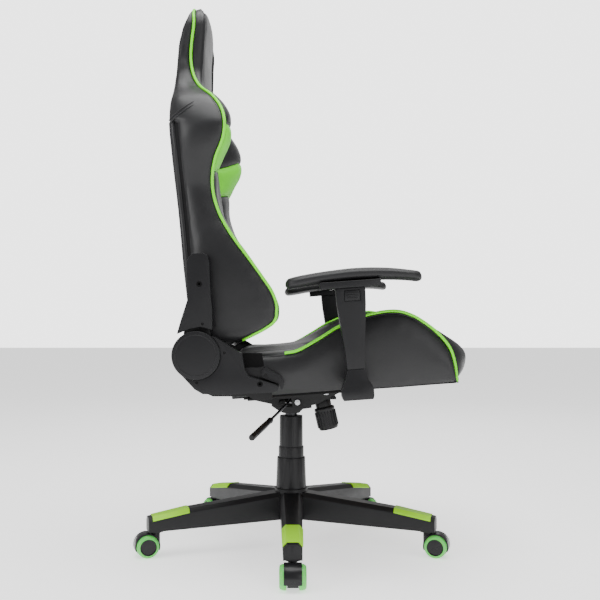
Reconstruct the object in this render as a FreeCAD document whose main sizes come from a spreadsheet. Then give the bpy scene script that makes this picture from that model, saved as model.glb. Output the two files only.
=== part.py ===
"""Racing-style gaming chair: a tilting, swivelling seat on a five-star base with casters.

Frame: millimetres, +X is the sitter's forward, +Y the sitter's left, +Z up. The origin is on the
floor, on the axis of the gas lift. Seat parts are drawn in a seat frame (x along the seat board,
z square to it) and backrest parts in a back frame whose origin is the recline axis. Each sub-part's
Placement carries it from there to the chair.
"""
import FreeCAD
import Part

import math
import os

from FreeCAD import Placement, Rotation, Vector

DIMENSIONS = {
    # base and casters
    "leg_count": (5, "legs of the star base"),
    "caster_circle": (316, "radius of the circle of caster sockets"),
    "leg_root_width": (50, "leg width at the hub"),
    "leg_tip_width": (38, "leg width at the socket"),
    "hub_radius": (38, "outside of the hub"),
    "hub_bottom": (62, "height of the hub's foot"),
    "hub_top": (132, "height of the hub's rim"),
    "wheel_diameter": (50, "caster wheel"),
    "wheel_gap": (24, "between the two wheels of a caster"),
    "wheel_width": (14.5, "one caster wheel"),
    "wheel_hub_radius": (18, "disc inside the tyre"),
    "caster_trail": (20, "wheel axle behind the swivel axis"),
    "stem_radius": (5.5, "caster stem"),
    "axle_radius": (3, "caster axle"),
    # gas lift
    "tube_radius": (24, "pressure tube"),
    "tube_top": (212, "top of the pressure tube"),
    "piston_radius": (14, "piston rod"),
    "piston_top": (326, "top of the piston rod"),
    "lift_stroke": (80, "travel of the gas lift"),
    "cover_wall": (1.6, "wall of the telescoping covers"),
    # seat
    "seat_angle": (4.2, "rearward slope of the seat, degrees"),
    "seat_origin_height": (352, "height of the seat plate's underside over the lift axis"),
    "seat_half_width": (255, "centre to the outside of a seat bolster"),
    "seat_centre_half": (140, "centre to the seam of the centre cushion"),
    "board_thickness": (12, "seat board"),
    "plate_thickness": (3, "pressed steel plates of the mechanism"),
    # backrest
    "back_angle": (6, "rearward lean of the backrest, degrees"),
    "recline_back": (193, "recline axis behind the lift axis"),
    "recline_height": (451, "recline axis above the floor"),
    "back_centre_half": (115, "centre to the seam of the centre panel"),
    "bracket_gap": (256, "centre to the inner face of the recline brackets"),
    "bracket_thickness": (4, "recline brackets"),
    "cap_radius": (48.5, "round cap over the recline gear"),
    # armrests
    "arm_offset": (310, "centre to the middle of an arm post"),
    "arm_forward": (129, "arm post ahead of the lift axis, along the seat"),
    "post_length": (30, "arm post along the seat"),
    "post_width": (20, "arm post across the seat"),
    "pad_length": (270, "arm pad"),
    "pad_width": (92, "arm pad"),
}

doc = FreeCAD.newDocument("gaming_chair")
sheet = doc.addObject("Spreadsheet::Sheet", "dims")
for row, (alias, (number, note)) in enumerate(DIMENSIONS.items(), start=1):
    sheet.set(f"A{row}", alias)
    sheet.set(f"B{row}", str(number))
    sheet.set(f"C{row}", note)
    sheet.setAlias(f"B{row}", alias)
doc.recompute()

ORIGIN = Vector(0, 0, 0)
UP = Vector(0, 0, 1)
LEFT = Vector(0, 1, 0)
AHEAD = Vector(1, 0, 0)
SIDES = {"left": 1, "right": -1}
PRESS = 0.05  # play in a seat that a turning pin or tube runs in
SMALL_PLAY = 0.4  # play between a fastener and its hole
sub_parts = []


def dim(alias):
    """A driving dimension, read from the sheet."""
    return float(sheet.get(alias))


SEAT = Placement(Vector(0, 0, dim("seat_origin_height")), Rotation(LEFT, -dim("seat_angle")))
BACK = Placement(
    Vector(-dim("recline_back"), 0, dim("recline_height")), Rotation(LEFT, -dim("back_angle"))
)
PLAIN = Placement()


def bind(made, **sizes):
    """Sets sizes of an object: text is an expression on the sheet, a number is itself."""
    for name, size in sizes.items():
        if isinstance(size, str):
            made.setExpression(name, size)
        else:
            setattr(made, name, size)
    return made


def along(start, direction):
    """The placement that carries a primitive drawn up +Z to a start point and a direction."""
    return Placement(start, Rotation(UP, direction))


def cylinder(name, radius, height, start=ORIGIN, direction=UP):
    """A round bar from a start point along a direction."""
    made = bind(doc.addObject("Part::Cylinder", name), Radius=radius, Height=height)
    made.Placement = along(start, direction)
    return made


def cone(name, radius_1, radius_2, height, start=ORIGIN, direction=UP):
    """A tapered round bar."""
    made = bind(
        doc.addObject("Part::Cone", name), Radius1=radius_1, Radius2=radius_2, Height=height
    )
    made.Placement = along(start, direction)
    return made


def box(name, length, width, height, corner, turn=0):
    """A block from its lowest corner, turned about the vertical through that corner."""
    made = bind(doc.addObject("Part::Box", name), Length=length, Width=width, Height=height)
    made.Placement = Placement(corner, Rotation(UP, turn))
    return made


def fuse(name, *pieces):
    """Pieces welded or moulded into one."""
    made = doc.addObject("Part::MultiFuse", name)
    made.Shapes = list(pieces)
    made.Refine = True
    return made


def cut(name, stock, *tools):
    """The stock with the tools' shapes taken away."""
    made = doc.addObject("Part::Cut", name)
    made.Base = stock
    made.Tool = tools[0] if len(tools) == 1 else fuse(f"{name}_tools", *tools)
    return made


def group(name, *pieces):
    """Separate like pieces that share one node."""
    made = doc.addObject("Part::Compound", name)
    made.Links = list(pieces)
    return made


def extrusion(name, outline, middle, width):
    """A PartDesign body: a closed side outline of (x, z) points padded across, both ways from middle."""
    body = doc.addObject("PartDesign::Body", name)
    plane = next(f for f in body.Origin.OriginFeatures if f.Role == "XZ_Plane")
    sketch = body.newObject("Sketcher::SketchObject", f"{name}_outline")
    sketch.AttachmentSupport = [(plane, "")]
    sketch.MapMode = "FlatFace"
    sketch.AttachmentOffset = Placement(Vector(0, 0, -middle), Rotation())
    corners = [Vector(x, z, 0) for x, z in outline]
    for a, b in zip(corners, corners[1:] + corners[:1]):
        sketch.addGeometry(Part.LineSegment(a, b))
    pad = body.newObject("PartDesign::Pad", f"{name}_pad")
    pad.Profile = sketch
    pad.SideType = "Symmetric"
    bind(pad, Length=width)
    return body


def lathe(name, outline):
    """A PartDesign body turned about the vertical from (radius, z) points."""
    body = doc.addObject("PartDesign::Body", name)
    plane = next(f for f in body.Origin.OriginFeatures if f.Role == "XZ_Plane")
    sketch = body.newObject("Sketcher::SketchObject", f"{name}_half")
    sketch.AttachmentSupport = [(plane, "")]
    sketch.MapMode = "FlatFace"
    corners = [Vector(r, z, 0) for r, z in outline]
    for a, b in zip(corners, corners[1:] + corners[:1]):
        sketch.addGeometry(Part.LineSegment(a, b))
    turned = body.newObject("PartDesign::Revolution", f"{name}_turn")
    turned.Profile = sketch
    turned.ReferenceAxis = (sketch, ["V_Axis"])
    turned.Angle = 360
    return body


def loft(name, *sections):
    """A straight-sided solid through closed loops of points."""
    loops = [Part.makePolygon([Vector(*p) for p in s] + [Vector(*s[0])]) for s in sections]
    made = doc.addObject("Part::Feature", name)
    made.Shape = Part.makeLoft(loops, True, True)
    return made


def rectangle(length, width, height, at):
    """A level rectangular loop centred on (x, y)."""
    x, y = at
    return [
        (x + sx * length / 2, y + sy * width / 2, height)
        for sx, sy in ((-1, -1), (1, -1), (1, 1), (-1, 1))
    ]


def sub_part(label, made, placement=PLAIN):
    """Registers a finished sub-part under its node name and places it in the chair."""
    made.Label = label
    made.Placement = placement.multiply(made.Placement)
    sub_parts.append(made)


# --- star base -----------------------------------------------------------------------------------

# height of a leg's top edge at three distances out, and of its underside at the first and last
LEG_TOP = ((30, 126), (240, 103), (334, 87))
LEG_FOOT = (64, 56)
BEVEL_IN, BEVEL_DOWN = 8, 9
PAD_SPAN = (244, 325)
TRIM_THICKNESS = 1.6
SHELL = 4
SOCKET_RADIUS, SOCKET_BOTTOM, SOCKET_TOP = 18.4, 54, 84
COUNTERBORE, COUNTERBORE_FLOOR = 30.6, 114
STEM_TOP = 80  # top of a caster's stem in its socket


def leg_angle(index):
    """Direction of a leg, in degrees. The first points to the sitter's right."""
    return -90 + 360 / dim("leg_count") * index


def leg_share(out):
    """How far along a leg a distance out is, from 0 at the root to 1 at the tip."""
    return (out - LEG_TOP[0][0]) / (LEG_TOP[-1][0] - LEG_TOP[0][0])


def leg_top(out):
    """Height of a leg's top edge at a distance out from the lift axis."""
    for (x0, z0), (x1, z1) in zip(LEG_TOP, LEG_TOP[1:]):
        if out <= x1:
            return z0 + (z1 - z0) * (out - x0) / (x1 - x0)
    return LEG_TOP[-1][1]


def leg_section(out, grow=0.0, foot=None):
    """Loop of a leg's bevelled section at a distance out, grown or shrunk by a wall."""
    half = (
        dim("leg_root_width")
        + (dim("leg_tip_width") - dim("leg_root_width")) * leg_share(out)
    ) / 2 + grow
    top = leg_top(out) + grow
    bottom = LEG_FOOT[0] + (LEG_FOOT[1] - LEG_FOOT[0]) * leg_share(out) if foot is None else foot
    return [
        (out, -half, bottom),
        (out, -half, top - BEVEL_DOWN),
        (out, -half + BEVEL_IN, top),
        (out, half - BEVEL_IN, top),
        (out, half, top - BEVEL_DOWN),
        (out, half, bottom),
    ]


def trim_section(out, down):
    """Loop of the soft trim that caps a leg, reaching down its two sides."""
    outer = leg_section(out, TRIM_THICKNESS, leg_top(out) - down)
    inner = leg_section(out, 0.0, leg_top(out) - down)
    return outer + inner[::-1]


def turned(made, angle):
    """A copy of a feature's shape, turned about the lift axis."""
    copy = doc.addObject("Part::Feature", f"{made.Name}_turned")
    copy.Shape = made.Shape.copy()
    copy.Placement = Placement(ORIGIN, Rotation(UP, angle)).multiply(made.Placement)
    return copy


def build_base():
    """The moulded five-star base and the soft trim on its legs."""
    outs = [out for out, _ in LEG_TOP]
    leg = loft("leg", *[leg_section(out) for out in outs])
    hollow = loft(
        "leg_hollow",
        *[leg_section(out, -SHELL, LEG_FOOT[1] - 10) for out in (dim("hub_radius") + 4, 240, 292)],
    )
    socket = cylinder(
        "socket",
        SOCKET_RADIUS,
        SOCKET_TOP - SOCKET_BOTTOM,
        Vector(dim("caster_circle"), 0, SOCKET_BOTTOM),
    )
    stem_hole = cylinder(
        "stem_hole",
        f"dims.stem_radius + {PRESS}",
        STEM_TOP + 2 - (SOCKET_BOTTOM - 6),
        Vector(dim("caster_circle"), 0, SOCKET_BOTTOM - 6),
    )
    doc.recompute()
    one_leg = cut("one_leg", fuse("leg_and_socket", leg, socket), hollow, stem_hole)
    doc.recompute()
    legs = [turned(one_leg, leg_angle(i)) for i in range(int(dim("leg_count")))]
    hub = cylinder(
        "hub", "dims.hub_radius", "dims.hub_top - dims.hub_bottom", Vector(0, 0, dim("hub_bottom"))
    )
    bore = cylinder("hub_bore", f"dims.tube_radius + {PRESS}", 200, ORIGIN)
    well = cylinder("hub_well", COUNTERBORE, 100, Vector(0, 0, COUNTERBORE_FLOOR))
    sub_part("star_base", cut("star", fuse("star_stock", hub, *legs), bore, well))
    trim = loft("trim", *[trim_section(out, BEVEL_DOWN - 1) for out in PAD_SPAN])
    doc.recompute()
    trims = [turned(trim, leg_angle(i)) for i in range(int(dim("leg_count")))]
    sub_part("leg_trim_pads", group("trims", *trims))


# --- casters -------------------------------------------------------------------------------------

HOOD_RADIUS, HOOD_WALL, HOOD_WIDTH = 27.5, 1.6, 35
HOOD_SKIRT = 16  # the hood's edge above the floor
HUB_FACE_IN = 1.0  # the disc's face inside the tyre's


def build_caster(index):
    """One twin-wheel caster, trailing outwards: hood with its two steel pins, discs and tyres."""
    n = index + 1
    trail, axle_z = dim("caster_trail"), dim("wheel_diameter") / 2
    gap, width = dim("wheel_gap"), dim("wheel_width")
    at = Placement(ORIGIN, Rotation(UP, leg_angle(index))).multiply(
        Placement(Vector(dim("caster_circle"), 0, 0), Rotation())
    )

    def across(name, radius, start, length):
        return cylinder(f"{name}_{n}", radius, length, Vector(trail, start, axle_z), LEFT)

    skirt = cut(
        f"skirt_{n}",
        across("skirt_out", HOOD_RADIUS, -HOOD_WIDTH / 2, HOOD_WIDTH),
        across("skirt_in", HOOD_RADIUS - HOOD_WALL, -HOOD_WIDTH, HOOD_WIDTH * 2),
        box(f"skirt_open_{n}", 200, 80, 50, Vector(-80, -40, HOOD_SKIRT - 50)),
    )
    web = cut(
        f"web_{n}",
        across("web_disc", HOOD_RADIUS - HOOD_WALL, -gap / 2 + 1, gap - 2),
        box(f"web_open_{n}", 200, 80, 50, Vector(-80, -40, HOOD_SKIRT - 6 - 50)),
    )
    boss = cylinder(f"boss_{n}", 9.5, 32, Vector(0, 0, 20.3))
    stock = fuse(f"hood_stock_{n}", skirt, web, boss)
    stem_seat = cylinder(f"stem_seat_{n}", "dims.stem_radius", 60, Vector(0, 0, 30))
    axle_seat = across("axle_seat", "dims.axle_radius", -30, 60)
    hood = cut(f"hood_{n}", stock, stem_seat, axle_seat)
    stem = cylinder(f"stem_{n}", "dims.stem_radius", STEM_TOP - 30, Vector(0, 0, 30))
    axle = across("axle", "dims.axle_radius", -gap / 2 - width + 3, gap + 2 * width - 6)
    sub_part(f"caster_hood_{n}", group(f"hood_group_{n}", hood, stem, axle), at)
    discs, tyres = [], []
    for side in SIDES.values():
        inner = gap / 2 if side > 0 else -gap / 2 - width
        face_in = HUB_FACE_IN if side < 0 else 0
        disc = cut(
            f"disc_{side}_{n}",
            across(f"disc_out{side}", "dims.wheel_hub_radius", inner + face_in, width - HUB_FACE_IN),
            across(f"disc_in{side}", f"dims.axle_radius + {PRESS}", -40, 80),
        )
        tyre = cut(
            f"tyre_{side}_{n}",
            across(f"tyre_out{side}", "dims.wheel_diameter / 2", inner, width),
            across(f"tyre_in{side}", "dims.wheel_hub_radius", -40, 80),
        )
        discs.append(disc)
        tyres.append(tyre)
    sub_part(f"caster_wheels_{n}", group(f"wheel_group_{n}", *discs), at)
    sub_part(f"caster_tyres_{n}", group(f"tyre_group_{n}", *tyres), at)


# --- gas lift ------------------------------------------------------------------------------------

LOWER_COVER = (35, 32.5, 132, 203)  # outer radius at the foot and top, height of foot and top
MIDDLE_COVER = (29.6, 29, 165, 228)
UPPER_COVER = (27.3, 26.5, 200, 299)


def cover(outer, lid_hole=None):
    """Outline of a tapered tube cover, with a lid round a hole if one is given."""
    foot, top, low, high = outer
    wall = dim("cover_wall")
    if lid_hole is None:
        return [(foot - wall, low), (foot, low), (top, high), (top - wall, high)]
    return [
        (foot - wall, low),
        (foot, low),
        (top, high),
        (lid_hole, high),
        (lid_hole, high - wall),
        (top - wall, high - wall),
    ]


def build_lift():
    """The gas spring and its three telescoping covers."""
    tube_top, radius = dim("tube_top"), dim("tube_radius")
    bore = dim("piston_radius") + PRESS
    tube = [(0, 56), (radius, 56), (radius, tube_top), (bore, tube_top), (bore, 66), (0, 66)]
    sub_part("pressure_tube", lathe("tube", tube))
    sub_part("lift_cover_lower", lathe("cover_lower", cover(LOWER_COVER)))
    sub_part("lift_cover_middle", lathe("cover_middle", cover(MIDDLE_COVER)))
    sub_part(
        "lift_cover_upper",
        lathe("cover_upper", cover(UPPER_COVER, dim("piston_radius") + SMALL_PLAY)),
    )
    piston_foot = tube_top - 60
    rod = cylinder(
        "rod",
        "dims.piston_radius",
        f"dims.piston_top - {piston_foot}",
        Vector(0, 0, piston_foot),
    )
    pin_seat = cylinder("pin_seat", 3.5 + PRESS, 30, Vector(0, 0, dim("piston_top") - 14))
    sub_part("piston_rod", cut("piston", rod, pin_seat))
    pin = cylinder("pin", 3.5, 15.6, Vector(0, 0, dim("piston_top") - 8))
    sub_part("release_pin", pin)


# --- tilt mechanism ------------------------------------------------------------------------------

HOUSING_HALF = 45
TILT_AXIS = (13.6, 334)  # x and z of the tilt pivot
KNOB_LEAN = 13  # degrees between the knob's axis and the vertical
KNOB_ROOT = Vector(71, 0, 341)
CUP_DROP, CUP_LENGTH, CUP_RADIUS = 7, 16, 18.5
KNOB_LENGTH, KNOB_RADIUS = 52, 25
LEVER_AXIS = Vector(-6, -43.5, 333.4)
LEVER_PIN = (3, -18, 7)  # radius of the lever's cross pin, and where it starts and ends in x
LUG_SPANS = ((-18, -14.2), (4.2, 7.2))


def build_mechanism():
    """The pressed housing on top of the gas lift, with its tension spring, cup, bolt and knob."""
    shell = [
        (-45, 325), (-30, 315), (-18, 309), (17, 309), (26, 318), (46, 321),
        (46, 340), (102, 340), (102, 345), (14, 345), (-45, 331),
    ]
    inside = [
        (-60, 331), (-28, 318), (-22, 328), (40, 328), (40, 360), (-60, 360),
    ]
    stock = extrusion("housing_stock", shell, 0, 2 * HOUSING_HALF)
    hollow = extrusion("housing_hollow", inside, 0, 2 * HOUSING_HALF - 6)
    rod_seat = cylinder("rod_seat", f"dims.piston_radius + {PRESS}", 60, Vector(0, 0, 290))
    pivot = cylinder(
        "pivot_hole", 6 + PRESS, 200, Vector(TILT_AXIS[0], -100, TILT_AXIS[1]), LEFT
    )
    lever_gate = box("lever_gate", 18, 12, 30, Vector(-14, -HOUSING_HALF - 6, 324))
    down = Vector(math.sin(math.radians(KNOB_LEAN)), 0, -math.cos(math.radians(KNOB_LEAN)))
    bolt_hole = cylinder("bolt_hole", 5 + SMALL_PLAY, 60, KNOB_ROOT - down * 20, down)
    pressed = cut("housing_pressed", stock, hollow, rod_seat, pivot, bolt_hole)
    lugs = [
        box(f"lever_lug_{i}", x1 - x0, 8, 9.5, Vector(x0, LEVER_AXIS.y - 4, LEVER_AXIS.z - 4.6))
        for i, (x0, x1) in enumerate(LUG_SPANS)
    ]
    radius, x0, x1 = LEVER_PIN
    lever_seat = cylinder(
        "lever_seat", radius + PRESS, x1 - x0 + 0.6,
        Vector(x0 - 0.3, LEVER_AXIS.y, LEVER_AXIS.z), AHEAD,
    )
    sub_part(
        "tilt_housing",
        cut("housing", fuse("housing_with_lugs", pressed, *lugs), lever_gate, lever_seat),
    )
    pin = cylinder("tilt_pin_bar", 6, 112, Vector(TILT_AXIS[0], -56, TILT_AXIS[1]), LEFT)
    sub_part("tilt_pin", pin)
    cup_start = KNOB_ROOT + down * CUP_DROP
    cup = cut(
        "cup",
        cylinder("cup_out", CUP_RADIUS, CUP_LENGTH, cup_start, down),
        cylinder("cup_in", CUP_RADIUS - 2, CUP_LENGTH, cup_start - down * 2, down),
        cylinder("cup_hole", 5 + SMALL_PLAY, 80, cup_start, down),
    )
    sub_part("spring_cup", cup)
    coils = []
    for turn in range(3):
        coil = bind(doc.addObject("Part::Torus", f"coil_{turn}"), Radius1=13.2, Radius2=1.8)
        coil.Placement = along(cup_start + down * (2.2 + 4.6 * turn), down)
        coils.append(coil)
    sub_part("tilt_spring", group("coils", *coils))
    bolt = fuse(
        "bolt",
        cylinder("bolt_shank", 5, 51.5, KNOB_ROOT - down * 10, down),
        cylinder("bolt_head", 8.5, 5, KNOB_ROOT - down * 12.5, down),
    )
    sub_part("tension_bolt", bolt)
    knob_start = cup_start + down * (CUP_LENGTH + 0.5)
    knob = cut(
        "knob",
        cylinder("knob_out", KNOB_RADIUS, KNOB_LENGTH, knob_start, down),
        cylinder("knob_in", 5 + PRESS, 60, knob_start - down * 40, down),
    )
    sub_part("tension_knob", knob)


# --- lift lever ----------------------------------------------------------------------------------

LEVER_PATH = ((-2, 8, 337.5), (-4, -38, 335), (-46, -132, 304), (-83, -232, 280))
LEVER_ROD = 3


def build_lever():
    """The bent rod that presses the release pin, and the grip on its outer end."""
    points = [Vector(*p) for p in LEVER_PATH]
    shapes = []
    for i, (a, b) in enumerate(zip(points, points[1:])):
        shapes.append(cylinder(f"rod_run_{i}", LEVER_ROD, (b - a).Length, a, b - a))
    for i, p in enumerate(points[1:-1]):
        knee = bind(doc.addObject("Part::Sphere", f"rod_knee_{i}"), Radius=LEVER_ROD)
        knee.Placement = Placement(p, Rotation())
        shapes.append(knee)
    radius, x0, x1 = LEVER_PIN
    cross_pin = cylinder(
        "lever_cross_pin", radius, x1 - x0, Vector(x0, LEVER_AXIS.y, LEVER_AXIS.z), AHEAD
    )
    sub_part("lift_lever_rod", fuse("lever_rod", *shapes, cross_pin))
    a, b = points[2], points[3]
    out = (b - a).normalize()
    grip = cut(
        "grip",
        cone("grip_out", 6.5, 5.2, (b - a).Length + 3, a, out),
        cylinder("grip_in", LEVER_ROD, (b - a).Length, a, out),
    )
    sub_part("lift_lever_grip", grip)


# --- seat ----------------------------------------------------------------------------------------

SEAT_REAR = -122
SEAT_FOOT = 17  # underside of the seat board and the cushions
BOARD_SPAN = (-115, 325)
BOARD_HALF = 225
BOARD_ROOM = 0.4  # room round the board in the foam
SPACER = (-106, 47, 224, 30)  # rear end, inner edge, length and width of a spacer bar
STRAP = (-90, 130, 40, 5)  # rear edge, inner end, length and thickness of a recline strap
PLATE_BOLTS = ((-70, 62), (78, 62))  # x and half spacing of the bolts that hold the seat plate
ARM_BOLTS = (146, 176, 206)  # distances from the centre line
ARM_BAR = 5  # thickness of the armrest brackets' bars
CENTRE_OUTLINE = (
    (SEAT_REAR, SEAT_FOOT), (345, SEAT_FOOT), (368, 40), (381, 66), (379, 84), (362, 95),
    (330, 100), (200, 97), (60, 98), (-60, 106), (SEAT_REAR, 104),
)
# the bolster's side outline where it meets the centre cushion and at its outer piping
BOLSTER_INNER = (
    (SEAT_REAR, SEAT_FOOT), (336, SEAT_FOOT), (344, 42), (344, 71), (340, 90), (322, 101),
    (296, 101), (256, 100), (218, 98), (163, 98), (107, 98), (66, 98), (24, 101), (-3, 103),
    (SEAT_REAR, 104),
)
BOLSTER_OUTER = (
    (SEAT_REAR, SEAT_FOOT), (334, SEAT_FOOT), (336, 42), (333, 70), (326, 92), (311, 114),
    (290, 136), (256, 161), (218, 173), (163, 169), (107, 150), (66, 129), (24, 109), (-3, 104),
    (SEAT_REAR, 103),
)
FLANGE = (
    (-106, -1), (-46, -19), (-32, -23), (-28, -9), (-1, -9), (1, -30), (30, -30),
    (58, -26), (95, -10), (118, 0), (118, 3), (-106, 3),
)


def bolt_up(name, x, y, head_z, shank):
    """A hex-free round-head bolt that points up, drawn in the seat frame."""
    return fuse(
        name,
        cylinder(f"{name}_head", 6.5, 5, Vector(x, y, head_z - 5)),
        cylinder(f"{name}_shank", 4, shank, Vector(x, y, head_z)),
    )


def build_seat():
    """Seat plate, board, spacers and straps, cushions and the bolts that join them."""
    flange_mid = HOUSING_HALF + 4.5
    plate = box("plate", 224, 200, "dims.plate_thickness", Vector(-106, -100, 0))
    flanges = [
        extrusion(f"flange_{name}", FLANGE, side * flange_mid, "dims.plate_thickness")
        for name, side in SIDES.items()
    ]
    tilt = SEAT.inverse().multVec(Vector(TILT_AXIS[0], 0, TILT_AXIS[1]))
    pivot = cylinder("plate_pivot", 6 + PRESS, 200, Vector(tilt.x, -100, tilt.z), LEFT)
    spots = [(x, s * half) for x, half in PLATE_BOLTS for s in SIDES.values()]
    holes = [
        cylinder(f"plate_hole_{i}", 4 + SMALL_PLAY, 30, Vector(x, y, -10))
        for i, (x, y) in enumerate(spots)
    ]
    sub_part("seat_plate", cut("plate_cut", fuse("plate_stock", plate, *flanges), pivot, *holes), SEAT)

    board_long = BOARD_SPAN[1] - BOARD_SPAN[0]
    arm_spots = [(dim("arm_forward"), s * y) for y in ARM_BOLTS for s in SIDES.values()]
    board = box(
        "board", board_long, 2 * BOARD_HALF, "dims.board_thickness",
        Vector(BOARD_SPAN[0], -BOARD_HALF, SEAT_FOOT),
    )
    board_holes = [
        cylinder(f"board_hole_{i}", 4 + SMALL_PLAY, 14, Vector(x, y, SEAT_FOOT - 3))
        for i, (x, y) in enumerate(spots + arm_spots)
    ]
    sub_part("seat_board", cut("board_cut", board, *board_holes), SEAT)
    bar_foot = SEAT_FOOT - ARM_BAR
    bolts = [bolt_up(f"seat_bolt_{i}", x, y, 0, 27) for i, (x, y) in enumerate(spots)]
    bolts += [bolt_up(f"arm_bolt_{i}", x, y, bar_foot, 13) for i, (x, y) in enumerate(arm_spots)]
    sub_part("seat_bolts", group("bolts", *bolts), SEAT)

    rails = []
    for name, side in SIDES.items():
        x0, y0, long, wide = SPACER
        z0 = dim("plate_thickness")
        y = y0 if side > 0 else -y0 - wide
        spacer = box(f"spacer_{name}", long, wide, SEAT_FOOT - z0, Vector(x0, y, z0))
        drilled = [
            cylinder(f"spacer_hole_{name}_{i}", 4 + SMALL_PLAY, 40, Vector(x, side * half, -10))
            for i, (x, half) in enumerate(PLATE_BOLTS)
        ]
        rails.append(cut(f"spacer_cut_{name}", spacer, *drilled))
        x0, y0, long, thick = STRAP
        wide = dim("bracket_gap") - y0
        y = y0 if side > 0 else -y0 - wide
        rails.append(box(f"strap_{name}", long, wide, thick, Vector(x0, y, SEAT_FOOT - thick)))
    sub_part("seat_rails", group("rails", *rails), SEAT)

    def recess(name):
        return box(
            f"board_recess_{name}",
            board_long + 2 * BOARD_ROOM,
            2 * (BOARD_HALF + BOARD_ROOM),
            dim("board_thickness") + BOARD_ROOM + 2,
            Vector(BOARD_SPAN[0] - BOARD_ROOM, -BOARD_HALF - BOARD_ROOM, SEAT_FOOT - 2),
        )

    centre = extrusion("seat_centre", CENTRE_OUTLINE, 0, "2 * dims.seat_centre_half")
    sub_part("seat_cushion", cut("seat_centre_cut", centre, recess("centre")), SEAT)
    bolsters = []
    for name, side in SIDES.items():
        inner = [(x, side * dim("seat_centre_half"), z) for x, z in BOLSTER_INNER]
        outer = [(x, side * dim("seat_half_width"), z) for x, z in BOLSTER_OUTER]
        bolster = loft(f"seat_bolster_{name}", inner, outer)
        bolsters.append(cut(f"seat_bolster_cut_{name}", bolster, recess(name)))
    sub_part("seat_bolsters", group("seat_bolster_pair", *bolsters), SEAT)


# --- recline joint -------------------------------------------------------------------------------

# in the back frame's origin, along the chair's own axes: x forward and z up from the recline axis
LOWER_BRACKET = (
    (-38, 0), (-27, 27), (0, 38), (27, 27), (48, 6), (90, 3), (131, 3), (131, -24), (152, -34),
    (152, -90), (118, -92), (104, -84), (32, -84), (16, -77), (-27, -27),
)
UPPER_BRACKET = (
    (-30, -22), (0, -36), (30, -22), (32, 30), (32, 188), (6, 188), (1, 112), (-16, 70), (-26, 30),
)
SIDE_COVER = (
    (-34, -34), (-2, -68), (14, -77), (60, -78), (150, -74), (164, -70), (166, -62), (160, -58),
    (134, -50), (107, -42), (98, -29), (92, 4), (70, 17), (52, 28), (40, 36), (0, 46), (-40, 24),
)
GEAR_RADIUS = 34
CAP_DEPTH, CAP_WALL = 17, 3
LEVER_WIDTH = 10
UPRIGHT_COVER = (
    (-34.3, 46.8), (-23.4, 73.8), (-6.3, 112.3), (-0.3, 188.1), (5.3, 198), (15, 204), (35, 203),
    (43, 197), (45.4, 183), (41.5, 127), (41.3, 87), (37.2, 47.4), (13.9, 55.9), (-6.4, 54),
)
UPRIGHT_HOLLOW = (
    (-31.5, 30), (-20.5, 72.5), (-3.2, 111.5), (2.8, 187), (8, 195.5), (16, 201), (34, 200),
    (40.2, 195), (42.3, 183), (38.5, 127), (38.3, 87), (34, 30),
)
LEVER_PIVOT = Vector(139, 0, -40)
LEVER_OUTLINE = (
    (131, -33), (135, -27), (140, -25), (166, -39), (172, -46), (176, -58), (174, -68), (169.5, -69),
    (167.5, -58), (150, -52), (138, -47), (132, -44),
)
HINGE_BOLTS = ((14, 80), (12, 165))  # back frame positions of the bolts into the back frame


def side_plate(name, outline, side, start, width):
    """A flat side piece from its (x, z) outline, on one side of the chair."""
    return extrusion(name, outline, side * (start + width / 2), width)


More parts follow.
